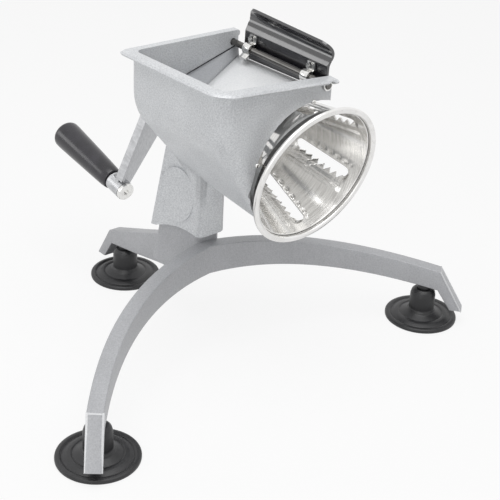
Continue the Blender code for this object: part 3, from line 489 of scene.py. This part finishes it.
# %% Guard sheet
GUARD_ENDS = (-89.0 * MM, 3.0 * MM)
GUARD_RISES = (0.80, 0.91)
GUARD_CORNER = 9 * MM
BULGE_HEIGHT = 10.6 * MM
SHEET_X = 5.9 * MM
SHEET_LOW = -21.0 * MM
LIP = (4.8 * MM, 20.4 * MM)
bulge_angle = np.radians(np.linspace(-40, 45, 14))
bulge = np.column_stack([-0.2 + 10.0 * np.cos(bulge_angle), 10.9 + 10.0 * np.sin(bulge_angle)]) * MM
section = np.vstack([[(SHEET_X, SHEET_LOW)], [(SHEET_X, 0.0)], bulge, [LIP]])


def on_hinge(x, y, z):
    """Points measured from the hinge rod: across it, along it and upwards from it."""
    return HINGE + x[..., None] * SIDE + y[..., None] * HINGE_ALONG + z[..., None] * HINGE_UP


def guard_sheet(columns=90, rows=40):
    """x is the section's x at the same height. The height runs from the lower edge to the rounded top, which
    drops near each end as a quarter circle: top - R + sqrt(R^2 - (R - d)^2) at distance d from the end."""
    length = GUARD_ENDS[1] - GUARD_ENDS[0]
    y = GUARD_ENDS[0] + length * (0.5 - 0.5 * np.cos(np.pi * np.linspace(0, 1, columns)))
    share = (y - GUARD_ENDS[0]) / length
    rise = GUARD_RISES[0] + (GUARD_RISES[1] - GUARD_RISES[0]) * share
    distance = np.minimum(np.minimum(y - GUARD_ENDS[0], GUARD_ENDS[1] - y), GUARD_CORNER)
    drop = GUARD_CORNER - np.sqrt(np.maximum(GUARD_CORNER**2 - (GUARD_CORNER - distance) ** 2, 0))
    top = BULGE_HEIGHT + rise * LIP[1] - drop
    low = (-7.6 - 2.8 * share) * MM
    z = low + np.linspace(0, 1, rows)[:, None] * (top - low)
    height = np.where(z > BULGE_HEIGHT, (z - BULGE_HEIGHT) / rise, z - BULGE_HEIGHT)
    x = np.interp(height, section[:, 1], section[:, 0])
    return on_hinge(x, np.broadcast_to(y, z.shape), z).reshape(-1, 3), grid_faces(rows, columns)


make_piece(
    "black_hand_guard", guard_sheet(), "guard", "hand_guard", "black_plastic", finish="lacquer",
    smooth=60, wall=2.2 * MM, bevel=0.5 * MM,
)

# %% [markdown]
# ## Hinge clips
# Each clip is a bent strip of plated steel that hooks over the rod and holds the guard. A real one is a
# flat strip bent round a pin, and so is this one: a line with an arc, drawn out to the strip's width
# and given a wall.

# %% Hinge clips
HOOK_RADIUS = 3.65 * MM
CLIP_HALF_WIDTH = 3.75 * MM
CLIP_PLACES = {"front": -74.0 * MM, "rear": -8.5 * MM}
hook_angle = np.radians(np.linspace(65, 235, 24))
hook = np.column_stack([HOOK_RADIUS * np.cos(hook_angle), HOOK_RADIUS * np.sin(hook_angle)])
clip_flat = np.array([(3.65, 10.4), (3.65, 5.0), (3.03, 4.0)]) * MM
clip_tail = np.array([(-3.8, -4.6), (-5.8, -6.1)]) * MM
clip_line = rounded(np.vstack([clip_flat, hook, clip_tail]), 0.8 * MM, 4)
for place, middle in CLIP_PLACES.items():
    edges = np.array((middle - CLIP_HALF_WIDTH, middle + CLIP_HALF_WIDTH))[:, None]
    clip_x, clip_y, clip_z = np.broadcast_arrays(clip_line[:, 0], edges, clip_line[:, 1])
    strip = (on_hinge(clip_x, clip_y, clip_z).reshape(-1, 3), grid_faces(2, len(clip_line)))
    make_piece(
        f"{place}_plated_clip", strip, "guard", f"{place}_hinge_clip", "plated_steel",
        smooth=60, wall=1.5 * MM, bevel=0.35 * MM,
    )

# %% [markdown]
# ## Castings with cut-outs
# The hopper is a hollow hull with a round mouth, and the crank arm is a plate with a raised rib. Many
# cuts cross on them, so a grid would be clumsy, and their surfaces are copied from the solid model
# instead. The copy's loose triangles are merged, flat ones are joined, and smooth shading with even
# normals gives back the casting's look.


# %% Smooth copies
def smooth_copy(name, node, body, slot, smooth):
    """A merged copy of a node's surface, with neighbouring triangles of one plane joined."""
    mesh = frame["nodes"][node].data.copy()
    shape = bmesh.new()
    shape.from_mesh(mesh)
    bmesh.ops.remove_doubles(shape, verts=shape.verts, dist=0.005 * MM)
    bmesh.ops.dissolve_limit(shape, angle_limit=math.radians(0.6), verts=shape.verts, edges=shape.edges)
    shape.to_mesh(mesh)
    shape.free()
    mesh.materials.clear()
    piece = finish_piece(name, mesh, body, node, slot, smooth=smooth)
    weighted = piece.modifiers.new("even shading", "WEIGHTED_NORMAL")
    weighted.keep_sharp = True


smooth_copy("hopper_casting", "hopper_body", "stand", "hopper_paint", 32)
smooth_copy("crank_arm_casting", "crank_arm", "crank", "cast_aluminium", 30)

# %% [markdown]
# ## Cover plate, wedge and crease shadow
# Inside the hopper a smooth pale plate slopes over the cone. A narrow wedge lies between it and the rear
# wall, and its grey is painted shade. A dark bar against the wall is a painted shadow in the crease
# between wedge and wall. In the solid model they belong to the hopper, and painting parts of one mesh
# would need a mask. So the plate and the wedge are thin skins just above the hopper's surface, grids
# between two edges, and the shadow is a thin swept bar, each with its own finish.

# %% Cover plate, wedge and crease shadow
COVER_WIDTH = 52 * MM
COVER_FRONT = -91.0 * MM + SHIFT_Y
SKIN = 0.3 * MM
WALL_Y = 10.7 * MM + SHIFT_Y
WEDGE_COLUMNS, WEDGE_ROWS = 30, 6
PLATE_POINTS = 12


def cover_height(x):
    """Height of the cover plate's upper face at x, a straight slope."""
    return 0.2060 + 0.17 * x


def cover_rear(x):
    """Place of the plate's rear edge at x, which comes nearer to the rear wall in a straight line."""
    return (-14.5 + 23.8 * x / COVER_WIDTH) * MM + SHIFT_Y


wedge_x = np.linspace(0, COVER_WIDTH, WEDGE_COLUMNS)
wedge_z = cover_height(wedge_x) + 0.25 * MM
wall_rise = (1.2 + 7.3 * wedge_x / COVER_WIDTH) * MM
wall_line = np.column_stack([wedge_x, np.full(WEDGE_COLUMNS, WALL_Y), wedge_z + wall_rise])
plate_line = np.column_stack([wedge_x, cover_rear(wedge_x), wedge_z])
steps = np.linspace(0, 1, WEDGE_ROWS)[:, None, None]
wedge_points = ((1 - steps) * plate_line + steps * wall_line).reshape(-1, 3)
wedge = (wedge_points, grid_faces(WEDGE_ROWS, WEDGE_COLUMNS))
# The wedge's skin carries painted shade, a darker grey than the hopper's paint.
make_piece("cover_wedge_face", wedge, "stand", None, "hopper_paint", finish="shaded", wall=SKIN)

plate_x = np.linspace(1.0 * MM, COVER_WIDTH, PLATE_POINTS)[:, None]
plate_y = COVER_FRONT + np.linspace(0, 1, PLATE_POINTS) * (cover_rear(plate_x) - 0.2 * MM - COVER_FRONT)
plate_grid = np.broadcast_arrays(plate_x, plate_y, cover_height(plate_x) + 0.2 * MM)
plate_points = np.stack(plate_grid, axis=-1).reshape(-1, 3)
plate = (plate_points, grid_faces(PLATE_POINTS, PLATE_POINTS))
make_piece("cover_plate_face", plate, "stand", None, "hopper_paint", finish="cover", wall=SKIN)

# A thin black bar along the rear wall is a painted shadow in the crease between wedge and wall.
crease_shadow_corners = np.array([(0, -0.35, -0.1), (0, 0.1, -0.1), (0, 0.1, 0.75), (0, -0.35, 0.75)]) * MM
make_piece("wedge_crease_shadow", swept(wall_line[[0, -1], None, :] + crease_shadow_corners), "stand", None, "rubber")

# %% [markdown]
# ## Studs at the mouth
# Two small studs with domed heads show at the edge of the round mouth. They are turned from one
# outline, and a place on the mouth's circle is found from its angle.

# %% Studs at the mouth
STUD_CIRCLE = 0.0541
STUD_PLANE = -0.0950 + SHIFT_Y
STUD_CENTRE_X = 0.036
STUD_CENTRE_Z = 0.1591
STUD_OUTLINE = np.array([(0, -1.0), (1.7, -1.0), (1.8, 0.8), (1.3, 1.3), (0, 1.5)])
STUD_ANGLES = (162, 91)  # in degrees, from the right and counterclockwise, seen from the front
for number, turn in enumerate(np.radians(STUD_ANGLES)):
    stud_x = STUD_CENTRE_X + STUD_CIRCLE * math.cos(turn)
    stud_z = STUD_CENTRE_Z + STUD_CIRCLE * math.sin(turn)
    stud = turned(rounded(STUD_OUTLINE * MM, 0.3 * MM, 3), (stud_x, STUD_PLANE, stud_z), (0, -1, 0), 24)
    make_piece(f"mouth_stud_{number}", stud, "stand", None, "plated_steel")

# %% [markdown]
# ## Pale rims on the leg tips
# The edges of the leg tips show a pale line. Its paler paint is a painted highlight for the light that
# the edges catch, and the line also stands a little proud. So it is a fine bar, swept along three edges
# of each tip's face: up one side, across the knee and down the other side.
# The leg's own last two loops give the corners.

# %% Pale rims on the leg tips
TOP_EDGE_POINTS = (1, 6)  # the points on a leg's two upper edges, in each loop of 16
# The bar's section: how far inwards each of its corners lies from the edge, and how far out of the face.
RIM_LEVELS = np.array([(-0.5, -0.4), (-0.4, 0.3), (1.1, 0.4), (1.5, -0.2)]) * MM
tip_loops = {"left": left_loops[[0, 1]], "right": right_loops[[-1, -2]]}
for side, (tip_loop, knee_loop) in tip_loops.items():
    one, other = TOP_EDGE_POINTS
    corners = np.stack([tip_loop[one], tip_loop[other], knee_loop[other], knee_loop[one]])
    across_tip = (corners[1] - corners[0]) / np.linalg.norm(corners[1] - corners[0])
    down_tip = (corners[0] - corners[3]) / np.linalg.norm(corners[0] - corners[3])
    out = np.cross(across_tip, down_tip)
    out = out * np.sign(out[2]) / np.linalg.norm(out)
    inward = np.stack([
        across_tip - down_tip, -across_tip - down_tip, -across_tip + down_tip, across_tip + down_tip,
    ])
    rim = corners[:, None] + RIM_LEVELS[:, :1] * inward[:, None] + RIM_LEVELS[:, 1:] * out
    rim_bar = swept(rim[[1, 2, 3, 0]])
    # The rim's pale finish is a painted highlight.
    make_piece(f"{side}_tip_rim", rim_bar, "stand", None, "base_paint", finish="tip_highlight", smooth=25)

# %% [markdown]
# ## Finishes
# Every finish starts from what it is on the real object. Colours are written as the eye sees them, as
# sRGB hex values, and one function turns them into the linear values that Blender's shaders use.
# Another small function adds a node, sets its values and joins its inputs. The patterns are procedural:
# they come from noise at a size in millimetres, so they fit any surface and need no picture.


# %% Colours and nodes
def linear(code):
    """sRGB hex to linear: c / 12.92 below 0.04045, else ((c + 0.055) / 1.055) ^ 2.4."""
    channels = np.array([int(code[i : i + 2], 16) for i in (1, 3, 5)]) / 255
    values = np.where(channels <= 0.04045, channels / 12.92, ((channels + 0.055) / 1.055) ** 2.4)
    return (*values.tolist(), 1.0)


def grey(value):
    """A linear grey."""
    return (value, value, value, 1.0)


def join_inputs(owner, node, inputs):
    """Sets inputs, named or numbered, to values, or joins them to other nodes' outputs."""
    for key, value in inputs.items():
        if isinstance(value, bpy.types.NodeSocket):
            owner.node_tree.links.new(value, node.inputs[key])
        else:
            node.inputs[key].default_value = value


def add_node(owner, kind, inputs=None, **settings):
    """A node of one kind in a material or world, with its settings and inputs."""
    node = owner.node_tree.nodes.new(kind)
    for key, value in settings.items():
        setattr(node, key, value)
    join_inputs(owner, node, inputs or {})
    return node


print("mid grey #808080 is", round(linear("#808080")[0], 3), "as a linear value")

# %% [markdown]
# ## A finish with two tones
# A real finish is never one colour. Each here goes between a darker and a lighter tone as its pattern
# rises from a low to a high value. A blend of two colours is enough for that, and simpler to read than
# a ramp with many stops.


# %% New finishes
def new_finish(name, **values):
    """A material with one Principled shader, whose sockets are set straight from the values."""
    material = bpy.data.materials.new(name)
    material.use_nodes = True
    shader = material.node_tree.nodes["Principled BSDF"]
    join_inputs(material, shader, {key.replace("_", " "): value for key, value in values.items()})
    place = add_node(material, "ShaderNodeTexCoord").outputs["Object"]
    return material, shader, place


def two_tones(material, pattern, low, high, dark, light):
    """The dark colour where the pattern is below low, the light one above high, and a blend between."""
    share = add_node(material, "ShaderNodeMapRange", {"Value": pattern, "From Min": low, "From Max": high})
    # With data_type RGBA, inputs 6 and 7 are the two colours and output 2 is the blend.
    colours = {0: share.outputs[0], 6: linear(dark), 7: linear(light)}
    return add_node(material, "ShaderNodeMix", colours, data_type="RGBA").outputs[2]


print("a finish is one Principled shader with patterns on its colour, roughness and normal")

# %% [markdown]
# ## Paint on the castings
# The hopper has a silver hammered enamel: aluminium flakes in a clear paint that dries with shallow
# dimples 1 to 2 mm across. Up close it is speckled, from afar it is a soft silver grey. The stand has
# the same kind of paint, in a darker and smoother grey. A picture of such paint would repeat, so noise
# makes the speckle and a cell pattern the dimples. Real flakes are far finer than the speckle here,
# which is drawn at 1.1 mm so that it shows.

# %% Hammered enamel
SPECKLE = 1.1 * MM
CLOUD = 30 * MM
CLOUD_SHARE = 0.22
DIMPLE_DEPTH = 0.25 * MM
SPECKLE_DEPTH = 0.06 * MM


def enamel(name, dark, light, dimple_mm, bump, rough_low, rough_high, flakes):
    """Flake speckle from fine noise, dimples from a smooth cell pattern, and slow cloudiness over both. The
    share of flakes sets how metallic the paint is, and a thin clear coat gives it a soft sheen."""
    coat = {"Coat_Weight": 0.15, "Coat_Roughness": 0.25}
    material, shader, place = new_finish(name, Metallic=flakes, **coat)
    fine = {"Vector": place, "Scale": 1 / SPECKLE, "Detail": 3.0, "Roughness": 0.7}
    speckle = add_node(material, "ShaderNodeTexNoise", fine).outputs["Fac"]
    slow = {"Vector": place, "Scale": 1 / CLOUD, "Detail": 2.0}
    cloud = add_node(material, "ShaderNodeTexNoise", slow).outputs["Fac"]
    # Inputs 2 and 3 are the two numbers that this node blends.
    mixed = add_node(material, "ShaderNodeMix", {0: CLOUD_SHARE, 2: speckle, 3: cloud}).outputs[0]
    cells = {"Vector": place, "Scale": 1 / (dimple_mm * MM), "Smoothness": 0.8}
    dimples = add_node(material, "ShaderNodeTexVoronoi", cells, feature="SMOOTH_F1").outputs["Distance"]
    hollows = {"Strength": bump, "Distance": DIMPLE_DEPTH, "Height": dimples}
    dimpled = add_node(material, "ShaderNodeBump", hollows).outputs[0]
    grains = {"Strength": bump, "Distance": SPECKLE_DEPTH, "Height": speckle, "Normal": dimpled}
    grained = add_node(material, "ShaderNodeBump", grains).outputs[0]
    sheen = {"Value": cloud, "From Min": 0.3, "From Max": 0.7, "To Min": rough_low, "To Max": rough_high}
    rough = add_node(material, "ShaderNodeMapRange", sheen).outputs[0]
    colour = two_tones(material, mixed, 0.34, 0.66, dark, light)
    join_inputs(material, shader, {"Base Color": colour, "Roughness": rough, "Normal": grained})
    return material


# The hopper's flakes catch the light, so its tones lie far apart and it looks speckled.
hopper_enamel = enamel("hammered_silver_enamel", "#bbbdc0", "#e4e6e8", 1.7, 0.3, 0.36, 0.46, 0.15)
# The cover is wiped smooth and has no flakes, so it looks plain and nearly white.
cover_enamel = enamel("pale_enamel_of_the_cover", "#e0e2e4", "#f2f3f4", 1.7, 0.12, 0.3, 0.4, 0.0)
# The wedge's darker grey is painted shade for the light falling on the facet; the paint is also dull.
shaded_enamel = enamel("painted_shade_on_the_wedge", "#94969a", "#a9abae", 1.7, 0.25, 0.5, 0.6, 0.0)
# The stand's paint is smoother, with smaller dimples and tones that lie close together.
stand_enamel = enamel("satin_grey_enamel", "#a4a5a8", "#bcbdc0", 1.4, 0.2, 0.38, 0.46, 0.15)
# Tip edges are paler, a painted highlight; they are also smoother, with more of the flakes showing.
tip_highlight_enamel = enamel("painted_highlight_on_tip_edges", "#cacbcd", "#dddedf", 1.4, 0.1, 0.3, 0.4, 0.3)
print("the hopper's speckle is", round(SPECKLE / MM, 1), "mm and its dimples are 1.7 mm across")

# %% [markdown]
# ## Steel, plating and aluminium
# The cone is polished stainless steel, with fine turned lines round its axis that stretch the
# reflections. The clips, nuts and screws are bright plated steel. The crank arm is cast aluminium,
# brushed along its length. A mirror of one tone would look too clean, so a noise that is stretched
# along the grain breaks up tone and gloss.

# %% Metals
GRAIN_DEPTH = 0.02 * MM


def metal(name, dark, light, rough_low, rough_high, grain, bump):
    """Metallic, with a stretched noise for the grain: it drives the tone, the roughness and a faint bump.
    The grain gives how many times the noise changes in a metre along x, y and z."""
    material, shader, place = new_finish(name, Metallic=1.0)
    stretched = add_node(material, "ShaderNodeMapping", {"Vector": place, "Scale": grain}).outputs[0]
    brushed = {"Vector": stretched, "Scale": 1.0, "Detail": 3.0}
    lines = add_node(material, "ShaderNodeTexNoise", brushed).outputs["Fac"]
    gloss = {"Value": lines, "From Min": 0.3, "From Max": 0.7, "To Min": rough_low, "To Max": rough_high}
    rough = add_node(material, "ShaderNodeMapRange", gloss).outputs[0]
    scratches = {"Strength": bump, "Distance": GRAIN_DEPTH, "Height": lines}
    scratched = add_node(material, "ShaderNodeBump", scratches).outputs[0]
    colour = two_tones(material, lines, 0.3, 0.7, dark, light)
    join_inputs(material, shader, {"Base Color": colour, "Roughness": rough, "Normal": scratched})
    return material


# A polishing wheel leaves fine lines round a turning cone. Here they lie about 1 mm apart along the
# shaft, far coarser than real ones, so that they show.
cone_steel = metal("polished_stainless_steel", "#d3d2d0", "#e9e8e6", 0.12, 0.2, (60, 900, 60), 0.3)
# The rolled bead is rubbed matt, so it shows as an even bright ring.
rim_steel = metal("satin_stainless_rim", "#e2e1df", "#f0efee", 0.25, 0.35, (60, 900, 60), 0.2)
# The collar and rod are smooth, and their darker tone is painted shade for the shade they mirror.
shade_darkened_steel = metal("polished_steel_with_painted_shade", "#5f5e5c", "#757371", 0.10, 0.16, (400, 60, 400), 0.2)
# Bright plating is nearly a mirror, so the small parts glint.
plated = metal("bright_plated_steel", "#d9d8d6", "#efefed", 0.08, 0.16, (500, 500, 500), 0.2)
# Brushing leaves wide, soft reflections on the arm. Its lines too are drawn coarser than real ones.
aluminium = metal("brushed_cast_aluminium", "#b4b5b7", "#cfd0d2", 0.34, 0.46, (1500, 120, 300), 0.3)
# The bushes are machined bronze, warm in tone, with soft reflections.
bronze = metal("machined_bronze", "#8e6b3c", "#ad8750", 0.28, 0.38, (300, 900, 300), 0.3)
print("metals made:", [made.name for made in (cone_steel, rim_steel, shade_darkened_steel, plated, aluminium, bronze)])

# %% [markdown]
# ## Plastic and rubber
# The grip is black ABS with faint moulding ripples. The guard is the same black with a polished
# lacquer, which mirrors the room in bands. The feet are black rubber, duller, with a fine grain and a
# little dust. All three are dark mouldings, so one function makes them, and only their tones, gloss and
# grain differ.

# %% Plastic and rubber
MOULD_CLOUD = 12 * MM
MOULD_DEPTH = 0.05 * MM


def moulding(name, dark, light, rough_low, rough_high, grain_mm, bump, ior):
    """A dark moulding: slow clouds set its tone and roughness, and a fine grain gives it a faint bump."""
    material, shader, place = new_finish(name, IOR=ior)
    slow = {"Vector": place, "Scale": 1 / MOULD_CLOUD, "Detail": 4.0}
    cloud = add_node(material, "ShaderNodeTexNoise", slow).outputs["Fac"]
    fine = {"Vector": place, "Scale": 1 / (grain_mm * MM), "Detail": 2.0}
    grain = add_node(material, "ShaderNodeTexNoise", fine).outputs["Fac"]
    gloss = {"Value": cloud, "From Min": 0.35, "From Max": 0.7, "To Min": rough_low, "To Max": rough_high}
    rough = add_node(material, "ShaderNodeMapRange", gloss).outputs[0]
    ripples = {"Strength": bump, "Distance": MOULD_DEPTH, "Height": grain}
    rippled = add_node(material, "ShaderNodeBump", ripples).outputs[0]
    colour = two_tones(material, cloud, 0.35, 0.7, dark, light)
    join_inputs(material, shader, {"Base Color": colour, "Roughness": rough, "Normal": rippled})
    return material


# ABS and lacquer have an IOR near 1.5. It is raised here, so that they shine as the real ones do.
black_plastic = moulding("glossy_black_abs", "#1c1a20", "#2a282f", 0.2, 0.3, 2.0, 0.15, 1.6)
black_lacquer = moulding("polished_black_lacquer", "#17161a", "#201f24", 0.12, 0.2, 2.0, 0.1, 2.0)
rubber = moulding("black_rubber", "#1b1b1d", "#29292b", 0.36, 0.5, 0.8, 0.3, 1.52)
print("dark mouldings made:", black_plastic.name, black_lacquer.name, rubber.name)

# %% [markdown]
# ## Give every piece its finish
# The imported record names a slot for each node, and each new piece was given a finish as it was made.
# One table joins their names to the finishes, so a finish is changed in one place. The rod is given the
# steel darkened with painted shade, and is named apart.

# %% Assign finishes
finishes = {
    "hopper_paint": hopper_enamel,
    "base_paint": stand_enamel,
    "polished_steel": cone_steel,
    "plated_steel": plated,
    "cast_aluminium": aluminium,
    "bronze": bronze,
    "black_plastic": black_plastic,
    "rubber": rubber,
    "lacquer": black_lacquer,
    "shaded": shaded_enamel,
    "tip_highlight": tip_highlight_enamel,
    "cover": cover_enamel,
    "rim": rim_steel,
    "shade_darkened_steel": shade_darkened_steel,
}
for name, finish in finish_of.items():
    bpy.data.objects[name].data.materials.append(finishes[finish])
for entry in frame["record"]["subparts"]:
    # The rod's darker steel is painted shade.
    finish = "shade_darkened_steel" if entry["node"] == "hinge_rod" else entry["material_slot"]
    for holder in frame["nodes"][entry["node"]].material_slots:
        holder.material = finishes[finish]

# %% [markdown]
# ## Floor and light
# The object stands on a plain white floor. A large lamp above gives soft light, the world fills the
# shadows, and the camera sees a white background. More light would also turn the floor white, but it
# would bleach the paint. So the floor and the world glow only for rays that come from the camera or
# from a shiny surface, and the floor keeps a share of its matt white, which holds the shadow.

# %% Floor and background
FLOOR_GLOW = 0.85
floor_points = np.array([(-4, -4, 0), (4, -4, 0), (4, 4, 0), (-4, 4, 0)], dtype=float) - (0, 0, 0.2 * MM)
floor_mesh = bpy.data.meshes.new("floor")
floor_mesh.from_pydata(floor_points.tolist(), [], [(0, 1, 2, 3)])
floor = bpy.data.objects.new("floor", floor_mesh)
bpy.context.scene.collection.objects.link(floor)
floor_finish = bpy.data.materials.new("white_floor")
floor_finish.use_nodes = True
floor_nodes = floor_finish.node_tree.nodes
floor_nodes.remove(floor_nodes["Principled BSDF"])
rays = add_node(floor_finish, "ShaderNodeLightPath").outputs
either = {0: rays["Is Camera Ray"], 1: rays["Is Glossy Ray"]}
seen = add_node(floor_finish, "ShaderNodeMath", either, operation="MAXIMUM").outputs[0]
part = {0: seen, 1: FLOOR_GLOW}
lessened = add_node(floor_finish, "ShaderNodeMath", part, operation="MULTIPLY").outputs[0]
matt = add_node(floor_finish, "ShaderNodeBsdfDiffuse", {"Color": grey(0.88)}).outputs[0]
glow = add_node(floor_finish, "ShaderNodeEmission", {"Color": grey(1.0), "Strength": 1.0}).outputs[0]
both = add_node(floor_finish, "ShaderNodeMixShader", {0: lessened, 1: matt, 2: glow}).outputs[0]
join_inputs(floor_finish, floor_nodes["Material Output"], {"Surface": both})
floor_mesh.materials.append(floor_finish)
print("share of the floor that glows for the camera:", FLOOR_GLOW)

# %% World
WORLD_LIGHT = 0.42
world = bpy.data.worlds.new("studio")
bpy.context.scene.world = world
world.use_nodes = True
rays = add_node(world, "ShaderNodeLightPath").outputs
straight = {0: rays["Is Camera Ray"], 1: rays["Is Transmission Ray"]}
clear = add_node(world, "ShaderNodeMath", straight, operation="MAXIMUM").outputs[0]
either = {0: clear, 1: rays["Is Glossy Ray"]}
seen = add_node(world, "ShaderNodeMath", either, operation="MAXIMUM").outputs[0]
levels = {"Value": seen, "To Min": WORLD_LIGHT, "To Max": 1.0}
level = add_node(world, "ShaderNodeMapRange", levels).outputs[0]
join_inputs(world, world.node_tree.nodes["Background"], {"Color": grey(1.0), "Strength": level})
print("the world lights the object at", WORLD_LIGHT, "and shows as white")


# %% Lamps
def facing(right, up, away, place):
    """The matrix of an object at a place, from its own three directions."""
    return Matrix(np.vstack([np.column_stack([right, up, away, place]), (0, 0, 0, 1)]).tolist())


def add_lamp(name, place, aim, size, power):
    """A square lamp that faces its aim."""
    lamp = bpy.data.lights.new(name, "AREA")
    lamp.shape = "SQUARE"
    lamp.size = size
    lamp.energy = power
    holder = bpy.data.objects.new(name, lamp)
    away = (np.array(place) - np.array(aim)) / np.linalg.norm(np.array(place) - np.array(aim))
    right = np.cross((0.0, 1.0, 0.001), away)
    right /= np.linalg.norm(right)
    holder.matrix_world = facing(right, np.cross(away, right), away, place)
    bpy.context.scene.collection.objects.link(holder)
    print(name, "gives", power, "W")


add_lamp("overhead_softbox", (-0.15, -0.25, 1.25), (0, 0, 0.1), 1.1, 8.6)
add_lamp("left_softbox", (-1.1, -0.6, 0.5), (0, 0, 0.12), 0.8, 2.0)
add_lamp("back_softbox", (-0.75, 0.75, 0.45), (0, 0, 0.15), 0.35, 0.8)

# %% [markdown]
# ## Camera
# The camera's place was worked out from the round feet and the square hopper. It could be aimed with a
# constraint, but its angles were measured, so its three directions are worked out from azimuth,
# elevation and roll.

# %% Camera
AZIMUTH, ELEVATION, ROLL = (math.radians(v) for v in (-41.37, 27.68, 3.0))
CAMERA_PLACE = np.array((-0.51531, -0.65996 + SHIFT_Y, 0.50451))
level_forward = np.array((-math.sin(AZIMUTH), math.cos(AZIMUTH), 0.0))
forward = level_forward * math.cos(ELEVATION) - UP * math.sin(ELEVATION)
level_right = np.array((math.cos(AZIMUTH), math.sin(AZIMUTH), 0.0))
level_up = np.cross(level_right, forward)
right = level_right * math.cos(ROLL) + level_up * math.sin(ROLL)
up = level_up * math.cos(ROLL) - level_right * math.sin(ROLL)
lens = bpy.data.cameras.new("camera")
lens.sensor_width = 36
lens.lens = 84.23
lens.clip_start = 0.01
camera = bpy.data.objects.new("camera", lens)
camera.matrix_world = facing(right, up, -forward, CAMERA_PLACE)
bpy.context.scene.collection.objects.link(camera)
bpy.context.scene.camera = camera
bpy.context.scene.view_settings.view_transform = "Standard"
print("the camera stands", round(float(np.linalg.norm(CAMERA_PLACE)), 3), "m from the origin")
